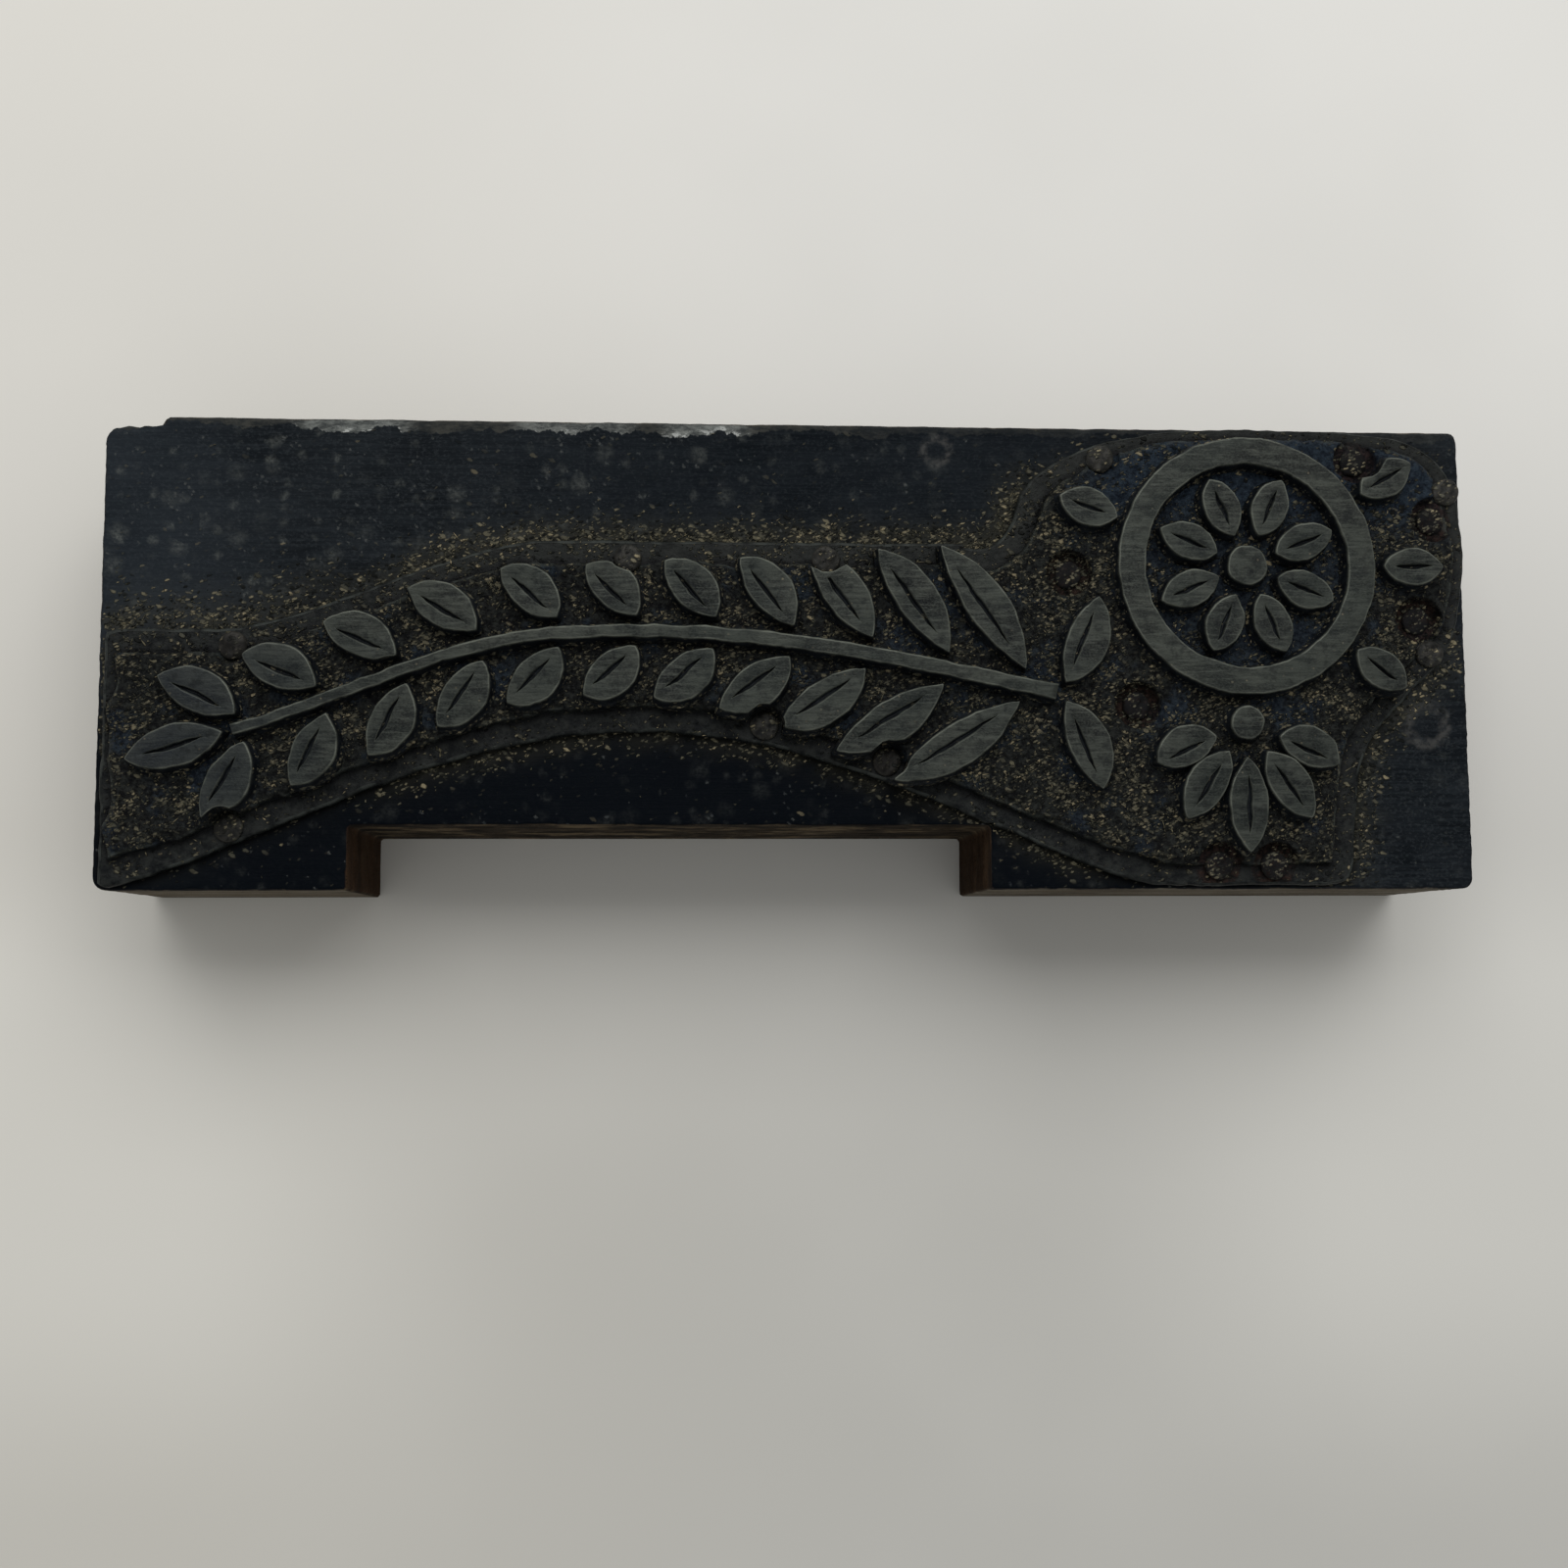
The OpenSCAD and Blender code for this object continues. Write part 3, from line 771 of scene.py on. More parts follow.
def worn_at_back(f, ink, wear):
    """The ink with the grey band along the back edge, bare where wear is 1, with painted
    highlights on the bare patches.
    """
    width = f.mask(f.noise(4.5, 6, 0.62, (1, 0.05, 0.05)), 0.32, 0.68, 0.4, 1.5)
    within = f.minus(width, f.minus(half_d, f.part(1)))
    worn = f.times(f.mask(within, -0.05, 0.12), f.mask(f.part(0), 14, -6, 0.3, 0.75))
    scuffs = f.noise(0.6, 7, 0.78, (0.4, 1, 1))
    ink = f.colour(worn, ink, f.layers((36, 38, 38), (scuffs, 0.4, 0.6, 1, (60, 60, 56))))
    bare = f.layers((58, 61, 61), (scuffs, 0.38, 0.62, 1, (112, 115, 112)))
    ink = f.colour(f.times(f.mask(within, -0.04, 0.08, 0, 0.85), wear), ink, bare)
    # Painted highlights: bright streaks on the bare patches of the back edge
    painted_glint = f.times(f.mask(f.noise(0.9, 6, 0.75, (0.6, 1, 1)), 0.52, 0.6), wear,
                    f.mask(within, 0.65, 0.2), f.mask(within, -0.12, 0.02))
    return f.colour(painted_glint, ink, (158, 161, 158))


# %% Wood of the sides


def sawn_wood(f, end, notch, lines, pores):
    """Brown long grain, reddish end grain and fresher wood in the notch, painted darker as
    shade, with runs of ink.
    """
    blotch = f.noise(4, 6, 0.68, (0.5, 0.5, 1.4))
    bands = f.noise(2.4, 3, 0.5, (0.05, 0.05, 1))
    long_side = f.layers((76, 70, 61), (lines, 0.42, 0.6, 1, (124, 118, 106)),
                         (bands, 0.42, 0.62, 0.6, (87, 77, 63)))
    middle, chance, _ = f.grains(0.8, (0.14, 0.14, 2), ragged=0.2)
    dash = f.times(f.mask(middle, 0.3, 0.12), f.mask(chance, 0.55, 0.7, 0, 0.55))
    long_side = f.colour(dash, long_side, (48, 41, 33))
    long_side = f.layers(long_side, (blotch, 0.48, 0.72, 0.45, (54, 47, 39)))
    end_side = f.layers((12, 7, 5), (pores, 0.1, 0.4, 1, (58, 41, 28)),
                        (blotch, 0.4, 0.7, 0.6, (26, 18, 13)))
    # The wood of the notch is partly painted shade: its tones are darkened for the shade inside the
    # notch
    fresh_wood_and_painted_shade = f.layers((36, 31, 25), (lines, 0.35, 0.7, 1, (66, 57, 46)),
                     (f.noise(5, 5, 0.66), 0.46, 0.6, 0.75, (102, 89, 70)),
                     (blotch, 0.42, 0.6, 0.85, (15, 13, 11)))
    fresh_wood_and_painted_shade = f.colour(f.times(end, 0.8), fresh_wood_and_painted_shade, end_side)
    bare = f.colour(notch, f.colour(end, long_side, end_side), fresh_wood_and_painted_shade)
    run = f.mask(f.noise(3.6, 7, 0.74, (1, 1, 0.35)), 0.32, 0.72, -0.5, 3)
    depth = f.times(f.minus(wood_top, f.part(2)), 1.15)
    inked = f.mask(f.minus(run, depth), -1.2, 1.2, 0, 0.93)
    inked = f.times(inked, f.minus(1.0, f.times(notch, 0.75)))
    side = f.colour(inked, bare, (20, 21, 25))
    grime = f.noise(9, 6, 0.66, (0.5, 0.5, 1))
    return f.layers(side, (grime, 0.45, 0.75, 0.5, (38, 35, 32)))


# %% Finish of the whole base


def inked_wood():
    """Blue-black ink over fine grain on top, brown and reddish wood on the sides."""
    f = Finish("inked wood", Specular_IOR_Level=0.03)
    top, end, notch, dust, wear = [f.mark(m) for m in ("top", "end", "notch", "dust", "wear")]
    on_top = f.mask(top, 0.25, 0.9)
    lines = f.noise(0.28, 4, 0.65, (0.04, 1, 1))
    fine = f.noise(0.22, 2, 0.6, (0.7, 1, 1))
    patch = f.noise(1.5, 5, 0.65)
    ink = spotted(f, ink_coat(f, lines, fine, patch))
    # Painted shadow, nearly black, below the front edge of the plate
    ink = f.colour(f.mark("corner"), ink, (1, 2, 3))
    ink = f.colour(f.times(dust, 0.5), ink, (52, 50, 41))
    ink, crumbs = grit(f, ink, f.plus(f.times(dust, 0.95), 0.003))
    ink = worn_at_back(f, ink, wear)
    side_lines = f.noise(0.32, 5, 0.72, (0.035, 0.035, 1))
    pores = f.grains(0.34)[0]
    body = f.colour(on_top, sawn_wood(f, end, notch, side_lines, pores), ink)
    top_relief = f.plus(f.times(lines, 0.6), f.times(crumbs, 1.8), f.times(fine, 0.5))
    relief = f.number(on_top, f.plus(side_lines, f.times(pores, end)), top_relief)
    gloss = f.plus(f.number(on_top, 0.78, 0.5), f.mask(patch, 0.3, 0.8, 0, 0.18),
                   f.times(crumbs, 0.2))
    return f.wire(Base_Color=body, Roughness=gloss, Normal=f.bump(relief, 0.06, 0.9))


dress(wood_base, "wood_block", inked_wood())

# %% [markdown]
# ## The ornament
#
# Each raised figure starts under the floor, flares into it at the foot, rises almost
# straight, and ends in a flat printing face with a slightly broken edge. The face carries
# an engraved vein. All leaves are the same kind of loft: two arcs over one chord, set out
# further for the rings near the floor.

# %% Profile of a raised figure

# Each row: how far it stands out from the outline of the face, and its height
profile = np.array([
    [0.5, floor_z - 1], [0.42, floor_z + 0.03], [0.33, floor_z + 0.13],
    [0.25, floor_z + 0.38], [0.17, floor_z + 0.8], [0.1, face_z - 0.3],
    [0.055, face_z - 0.12], [0.02, face_z - 0.04], [-0.03, face_z - 0.005], [-0.14, face_z],
])
profile_face = np.array([0, 0, 0, 0, 0.05, 0.3, 0.8, 1, 1, 1])
profile_rim = np.array([0, 0, 0, 0, 0, 0.3, 0.8, 1, 0.9, 0.1])


def arc_height(l, s, x):
    """Height over its chord of a circular arc with chord l and rise s, at x along it."""
    r = (l * l / 4 + s * s) / (2 * s)
    return np.sqrt(np.maximum(0, r * r - (x - l / 2) ** 2)) - r + s


def leaf_ring(l, up, down, grow=0.0, start=0.0, steps=20):
    """Points round a leaf along X, between two arcs, with blunt ends."""
    a = l + 2 * grow
    x = a / 2 * (1 - np.cos(np.radians(np.linspace(8, 172, steps + 1))))
    right = np.stack([start + x - grow, -arc_height(a, down + grow, x)], 1)
    left = np.stack([start + x - grow, arc_height(a, up + grow, x)], 1)
    return np.concatenate([right, left[::-1]])


def placed(points, place, angle):
    """Points turned by angle degrees about the origin and moved to a place."""
    c, s = math.cos(math.radians(angle)), math.sin(math.radians(angle))
    return points @ np.array([[c, s], [-s, c]]) + place


def clear_of_nails(flat, middle, spare):
    """Cuts a leaf where the room of a nail begins: a line from the middle of the leaf to each
    point ends where it first meets the circle round the nail, a little earlier for some rings."""
    way = flat - middle
    length = np.linalg.norm(way, axis=-1)
    way = way / np.maximum(length, 1e-9)[..., None]
    for centre, radius in nail_rooms:
        along = way @ (centre - middle)
        room = (radius + spare[:, None]) ** 2 - ((centre - middle) ** 2).sum() + along ** 2
        meets = (room > 0) & (along > 0)
        first = along - np.sqrt(np.maximum(room, 0))
        length = np.where(meets, np.minimum(length, np.maximum(first, 0.02)), length)
    return middle + way * length[..., None]


def at_heights(flat, heights):
    """Flat rings (m, n, 2) with a height for each ring."""
    z = np.broadcast_to(np.reshape(heights, (-1, 1, 1)), flat.shape[:2] + (1,))
    return np.concatenate([flat, z], -1)


def by_hand(rings):
    """The small unevenness of a cut edge: two slow ripples and a fine one."""
    xy, z = rings[..., :2], rings[..., 2]
    shift = 0.05 * sway(xy, 3.4, 41) + 0.022 * sway(xy, 0.8, 43)
    worn = 0.012 * np.maximum(1 + ripple(xy, 6, 45), 0) * (z > face_z - 0.02)
    return np.concatenate([xy + shift, (z - worn)[..., None]], -1)


footprints = []


def leaf(surface, place, angle, start, l, w, lean=0.0):
    """A raised leaf from start to start + l along its own axis, with an engraved vein."""
    up, down = w / 2 * (1 + lean), w / 2 * (1 - lean)
    # Each ring of the vein: share of the leaf's length, half width, depth under the face
    vein = [(0.7, 0.37, 0.0), (0.64, 0.27, 0.01), (0.61, 0.15, 0.3), (0.56, 0.05, 0.5)]
    flat = [leaf_ring(l, up, down, grow, start) for grow in profile[:, 0]]
    flat += [leaf_ring(share * l, half, half, 0, start + (1 - share) / 2 * l)
             for share, half, _ in vein]
    heights = np.r_[profile[:, 1], [face_z - depth for _, _, depth in vein]]
    flat = np.array([placed(ring, place, angle) for ring in flat])
    spare = np.r_[np.maximum(-profile[:, 0], 0), 0.4, 0.5, 0.6, 0.7]
    flat = clear_of_nails(flat, flat.mean((0, 1)), spare)
    surface.loft(by_hand(at_heights(flat, heights)), low_cap=True, high_cap=True,
                 face=np.r_[profile_face, 1, 1, 0.3, 0], rim=np.r_[profile_rim, 0, 0.5, 0, 0])
    footprints.append(flat[4])


# %% [markdown]
# ### The garland
#
# A stem follows the middle of the band, and pairs of leaves lean away from the lobe. The
# length of each leaf comes from the room between the stem and the edge of the floor, so
# the garland swells and narrows with the band.

# %% Garland
stem_w, leaf_w, leaf_angle, leaf_pairs = 1.3, 3.8, 44, 11
figure_gap, leaf_gap, end_leaf_l, end_leaf_turn = 0.9, 0.7, 8.6, 68
stem_from_left, stem_into_lobe = 12.6, 6.4
stem_x0, stem_x1 = left_x + stem_from_left, right_x - lobe_w + stem_into_lobe


def stem_angle(x):
    """Slope of the middle line in degrees."""
    return np.degrees(np.arctan(band_middle(x + 0.5) - band_middle(x - 0.5)))


def stem_half(x):
    """Half the width of the stem, which grows towards the lobe."""
    return stem_w / 2 * mix(0.65, 1, (x - stem_x0) / (stem_x1 - stem_x0))


def stem_ring(grow):
    """Points round the stem: along its right side and back along its left side."""
    x = np.linspace(stem_x0, stem_x1, 130)
    a = np.radians(stem_angle(x))
    across = np.stack([-np.sin(a), np.cos(a)], 1) * (stem_half(x) + grow)[:, None]
    middle = np.stack([x, band_middle(x)], 1)
    return np.concatenate([middle - across, (middle + across)[::-1]])


garland = Surface("face", "rim")
stem_flat = np.array([stem_ring(grow) for grow in profile[:, 0]])
garland.loft(by_hand(at_heights(stem_flat, profile[:, 1])), low_cap=True, high_cap=True,
             face=profile_face, rim=profile_rim)
footprints.append(stem_flat[4])

# How far across the band a leaf reaches for each millimetre of its length
across = math.sin(math.radians(leaf_angle))
for x in np.linspace(stem_x0 + 2, stem_x1 - 1.6, leaf_pairs):
    room = (band_y(x) - arch_y(x)) / 2 - flange_w - leaf_gap
    start = (stem_half(x) + figure_gap) / across
    length = room / across - start
    for side in (-1, 1):
        leaf(garland, [x, band_middle(x)], stem_angle(x) + 180 - side * leaf_angle, start, length,
             leaf_w, -side * 0.25)
tip_l = stem_x0 - left_x - flange_w - leaf_gap - figure_gap
leaf(garland, [stem_x0, band_middle(stem_x0)], stem_angle(stem_x0) + 180, figure_gap, tip_l, leaf_w)
for side in (-1, 1):
    leaf(garland, [stem_x1 + figure_gap, band_middle(stem_x1) + side * figure_gap],
         side * end_leaf_turn, 0, end_leaf_l, leaf_w, -side * 0.25)
garland_leaves = garland.build("garland_leaves", weld=0.0005)

# %% [markdown]
# ### The medallion and the palmette
#
# On the lobe a plain ring frames a rosette of eight petals round a boss, with short leaves
# outside the ring, and a fan of five petals fills the foot of the lobe. The ring is the
# same profile carried round a circle, up its outside and down its inside.

# %% Medallion
ring_r, ring_w, boss_r, petals, petal_w = 12, 2.4, 1.8, 8, 3.3
ring_from_right, ring_from_back = 21.6, 13.6
side_leaf_l, side_leaf_turns = 5.6, (-38, 0, 32, 160)
medallion_at = np.array([right_x - ring_from_right, back_y - ring_from_back])
inner_r = ring_r - ring_w
turn = np.linspace(0, 2 * np.pi, 200, endpoint=False)
circle = np.stack([np.cos(turn), np.sin(turn)], 1)


def disc(surface, centre, r):
    """A raised disc: the profile of a figure round a circle, closed on top."""
    flat = centre + np.multiply.outer(np.r_[r + profile[:, 0], r * 0.6, 0.02], circle[::4])
    surface.loft(by_hand(at_heights(flat, np.r_[profile[:, 1], face_z, face_z])), low_cap=True,
                 high_cap=True, face=np.r_[profile_face, 1, 1], rim=np.r_[profile_rim, 0, 0])
    footprints.append(centre + circle[::4] * (r + 0.17))


medallion = Surface("face", "rim")
rows = np.arange(len(profile))
there_and_back = np.r_[rows, rows[::-1], 0]
outwards = np.repeat([1, -1, 1], [len(rows), len(rows), 1])
ring_radii = np.where(outwards > 0, ring_r, inner_r) + outwards * profile[there_and_back, 0]
ring_flat = medallion_at + np.multiply.outer(ring_radii, circle)
medallion.loft(by_hand(at_heights(ring_flat, profile[there_and_back, 1])),
               face=profile_face[there_and_back], rim=profile_rim[there_and_back])
disc(medallion, medallion_at, boss_r)
petal_from = boss_r + figure_gap + 0.3
petal_l = inner_r - petal_from - figure_gap
for i in range(petals):
    leaf(medallion, medallion_at, (i + 0.5) * 360 / petals, petal_from, petal_l, petal_w)
for angle in side_leaf_turns:
    leaf(medallion, medallion_at, angle, ring_r + figure_gap, side_leaf_l, leaf_w * 0.9)
medallion_ring = medallion.build("medallion", weld=0.0005)

# %% Palmette
fan = Surface("face", "rim")
fan_at = medallion_at + [-0.4, -ring_r - boss_r - figure_gap]
fan_from = boss_r + figure_gap + 0.5
palmette_l, palmette_step, shorter_by, fan_petal_w = 11.8, 33, 1.3, 3.6
for k in range(-2, 3):
    leaf(fan, fan_at, -90 + k * palmette_step, fan_from,
         palmette_l - fan_from - abs(k) * shorter_by, fan_petal_w, 0.12 * k)
disc(fan, fan_at, boss_r - 0.3)
palmette = fan.build("palmette", weld=0.0005)

# %% [markdown]
# ## The flange and the rim of the floor
#
# The plate was cast or etched in one piece and then routed: a thin flange is left all round
# for the nails, and inside it the metal is thicker. Only the outer edge is a loft here: it
# runs up from the wood and over its soft corner on to the flange. The rim of the floor is a
# curve set back from that edge, nearer to it at the left end, where the router ran out.

# %% Flange and rim
rim_inset, rim_wave, rim_step = 2.25, 0.11, 0.3


def plate_ring(inset, rise, wave=0.06):
    """A ring on the plate, set back by inset, with the slow waves of a hand-guided cutter."""
    loop = outline(inset)
    shifted = loop + wave * sway(loop, 7, 31) + 0.6 * wave * sway(loop, 2.2, 33)
    return np.column_stack([shifted, np.full(len(loop), wood_top + rise)])


def beside_loop(loop, offsets):
    """Copies of a loop, each set in by one of the offsets along its normals."""
    n = normals_of(loop)
    return np.concatenate([loop - n * offset for offset in offsets])


def round_nail(centre, radii):
    """Rings of points round a nail, about a quarter of a millimetre apart."""
    rings = []
    for r in radii:
        t = np.linspace(0, 2 * np.pi, int(24 * r) + 1, endpoint=False)
        rings.append(centre + r * np.stack([np.cos(t), np.sin(t)], 1))
    return np.concatenate(rings)


# Each step of the outer edge: how far it is set back, and how high it lies over the wood
edge_steps = [(0.05, -0.05), (0.0, 0.1), (0.0, 0.5), (0.03, 0.68), (0.09, 0.8), (0.18, 0.87),
              (0.32, flange_t)]
edge_rings = np.array([plate_ring(inset, rise) for inset, rise in edge_steps])
plate = Surface("zone", "rim", "dust", "blue", "pit", "foot", "brink")
# The rim mark on the rounded outer edge carries a painted highlight
plate.loft(edge_rings, rim=[1.0 if 0.02 < inset else 0.0 for inset, _ in edge_steps])
under_xy, under_faces = sheet_inside(edge_rings[0][:, :2], 3, 35)
plate.add(np.column_stack([under_xy, np.full(len(under_xy), wood_top - 0.05)]),
          [[f[::-1] for f in under_faces]])
rim_curve = plate_ring(rim_inset, 0, rim_wave)[:, :2]
at_left_end = smooth((left_x + 5.5 - rim_curve[:, 0]) / 2)
rim_curve[:, 0] -= at_left_end * (1.25 + 0.3 * ripple(rim_curve, 5, 36))
rim_curve = resample(rim_curve, rim_step)
print("points round the rim of the floor:", len(rim_curve))

# %% [markdown]
# ### The floor
#
# Between the figures the metal was etched and routed away, which left a rough, pitted
# surface. Everything inside the outer edge is one sheet of triangles whose height is a
# function of the place: the flange, a wall with a ledge, the rough floor, the clear spots
# round the nails on the flange and the pits round the others. Rows of points along each
# wall keep it steep and clean.

# %% Floor
rim_steps = (-0.18, -0.11, -0.06, 0, 0.06, 0.11, 0.18)
room_steps = (-0.18, -0.11, -0.05, 0, 0.05, 0.11, 0.18)
floor_step = 0.33
figure_edges = np.concatenate([resample(loop, 0.3) for loop in footprints]
                              + [medallion_at + circle * r for r in (ring_r, inner_r)])


def inside_rim(p):
    """Distance in from the rim of the floor, negative on the flange."""
    far = distance_to(p, rim_curve)
    return np.where(inside(p, rim_curve), far, -far)


def in_room(p, centre, radius):
    """1 in the room of a nail, 0 outside it, with a wall a fifth of a millimetre wide."""
    return 1 - smooth((gap_to(p, centre) - radius + 0.1) / 0.2)


def in_lobe(p):
    """1 at the back of the lobe, where the floor is clean and its ink blue, 0 elsewhere."""
    return smooth((p[:, 1] - 9) / 6) * smooth((p[:, 0] - 24) / 6)


def covered(p, loops, beyond_ring, beyond_nail):
    """Whether points lie in one of the loops, under the ring or in the room of a nail."""
    far = gap_to(p, medallion_at)
    under = (far > inner_r - beyond_ring) & (far < ring_r + beyond_ring)
    for loop in loops:
        under |= inside(p, loop)
    for centre, radius in nail_rooms:
        under |= gap_to(p, centre) < radius + beyond_nail
    return under


def plate_height(p):
    """Height of the plate: the flange, a wall with a ledge, a rough floor, spots and pits."""
    rim = inside_rim(p)
    ledge = 0.12 + 0.4 * np.maximum(ripple(p, 6, 55), 0)
    up = 0.62 * smooth((rim + 0.1) / 0.2) + 0.38 * smooth((rim - ledge) / 0.3)
    rough = 0.06 * ripple(p, 1.6, 51) + 0.07 * ripple(p, 0.9, 52) + 0.04 * ripple(p, 0.6, 53)
    low = flange_z - 0.02 + 0.02 * ripple(p, 1.3, 54)
    z = mix(low, floor_z - 0.04 + rough * smooth(rim / 0.6), up)
    for centre in flange_nails:
        z = np.minimum(z, mix(z, flange_z - 0.01, in_room(p, centre, spot_r)))
    for centre in pit_nails:
        z = np.minimum(z, mix(z, pit_z + 0.04 * ripple(p, 0.8, 56), in_room(p, centre, pit_r)))
    return z


def shrunk(loop, by=0.12):
    """A loop with each point moved towards its middle."""
    inwards = loop.mean(0) - loop
    return loop + by * inwards / np.linalg.norm(inwards, axis=1)[:, None]


def open_floor(p):
    """Leaves out points under the figures and those too close to the rim or a nail."""
    # The long stem is not shrunk towards its middle, which lies outside it, so it is left out
    leaves_and_discs = [shrunk(loop) for loop in footprints if len(loop) < 100]
    return ~covered(p, leaves_and_discs, -0.1, 0.3) & (np.abs(inside_rim(p)) > 0.26)


walls = [beside_loop(rim_curve, rim_steps)]
for centre, radius in nail_rooms:
    walls.append(round_nail(centre, np.r_[0.5, 1, radius - 0.4, radius + np.array(room_steps)]))
walls = np.concatenate(walls)
top_edge = edge_rings[-1][:, :2]
walls = walls[inside(walls, top_edge)]
walls = walls[distance_to(walls, top_edge) > 0.12]
floor_xy, floor_faces = sheet_inside(top_edge, floor_step, 57, walls, open_floor)

# %% Marks on the floor
beside = distance_to(floor_xy, figure_edges)
ringed = gap_to(floor_xy, medallion_at) < inner_r
blue = np.maximum(in_lobe(floor_xy), 0.6 * ringed)
in_pit = sum(in_room(floor_xy, centre, pit_r) for centre in pit_nails)
from_rim = inside_rim(floor_xy)
front_flange = (from_rim < 0) & (floor_xy[:, 1] < band_middle(floor_xy[:, 0]))
# Less dust near the figures lets the dark ink show round their feet, as painted shade
dusty = mix(0.35, 1, smooth(beside / 0.7)) * (1 - 0.62 * blue) * (1 - 0.65 * front_flange)
# The foot mark carries a painted shadow at the foot of the rim, the brink mark a painted highlight
plate.add(np.column_stack([floor_xy, plate_height(floor_xy)]), [floor_faces],
          blue=blue, pit=in_pit, zone=smooth((from_rim + 0.1) / 0.2), dust=dusty,
          foot=np.exp(-((from_rim + 0.22) / 0.28) ** 2),
          brink=np.exp(-((from_rim - 0.15) / 0.14) ** 2))
plate_body = plate.build("plate_body", weld=0.0005)

# %% [markdown]
# ### Finishes of the plate
#
# The printing faces are dull grey-green zinc alloy, wiped many times along the block, which
# left fine light and dark streaks. Their edges are bright: partly worn metal, partly a
# painted highlight. The shoulders are stained blue-black. The flange has a dark, smoother
# skin with a painted highlight along its outer edge. The floor is crusted with ink and pale
# fibre, blue where it stayed clean and rusty in the pits, and dark round the feet of the
# figures as painted shade. The rim has a painted shadow along its foot and a painted
# highlight along its brink.

# %% Metal of the figures


def worn_face_metal():
    """Grey-green wiped faces with bright edges over ink-stained, gritty shoulders."""
    f = Finish("worn plate metal", Specular_IOR_Level=0.12)
    face, rim = f.mark("face"), f.mark("rim")
    streak = f.noise(0.6, 5, 0.68, (0.16, 1, 1))
    mottle = f.noise(3.2, 7, 0.7, (0.7, 1, 1))
    fine = f.noise(0.17, 2, 0.6, (0.8, 1, 1))
    wiped = f.noise(0.26, 4, 0.66, (0.1, 1, 1))
    metal = f.layers((10, 13, 14), (mottle, 0.4, 0.6, 1, (51, 54, 50)),
                     (streak, 0.5, 0.68, 0.5, (60, 64, 60)), (streak, 0.45, 0.3, 0.5, (14, 17, 18)),
                     (fine, 0.42, 0.64, 0.4, (60, 63, 59)), (wiped, 0.5, 0.64, 0.45, (68, 71, 66)),
                     (wiped, 0.47, 0.36, 0.5, (20, 23, 24)),
                     (f.noise(11, 3, 0.5), 0.4, 0.65, 0.3, (34, 40, 38)),
                     (f.part(0), -38, -58, 0.6, (31, 35, 40)),
                     (f.noise(1.3, 6, 0.72), 0.5, 0.64, 0.6, (14, 17, 19)))
    middle, chance, tone = f.grains(0.7)
    dots = f.times(f.mask(middle, 0.2, 0.1), f.mask(chance, 0.7, 0.9, 0, 0.6))
    metal = f.colour(dots, metal, f.colour(tone, (14, 16, 17), (106, 100, 84)))
    # The bright edges of the faces are worn metal and partly a painted highlight
    bright = f.times(rim, f.mask(f.noise(1.8, 4), 0.32, 0.62, 0.2, 0.8))
    metal = f.colour(bright, metal, (96, 99, 91))
    wall = f.layers((9, 12, 16), (f.noise(1.2, 4), 0.35, 0.7, 1, (25, 29, 33)))
    wall, crumbs = grit(f, wall, f.mask(f.part(2), floor_z + 0.7, floor_z + 0.1, 0.05, 0.6))
    on_face = f.mask(face, 0.15, 0.85)
    relief = f.number(on_face, f.times(crumbs, 4), f.plus(wiped, fine))
    return f.wire(Base_Color=f.colour(on_face, wall, metal),
                  Roughness=f.mask(mottle, 0.3, 0.8, 0.42, 0.62),
                  Metallic=f.mask(face, 0.3, 0.9, 0, 0.5), Normal=f.bump(relief, 0.025, 0.9))


# %% Skin of the plate


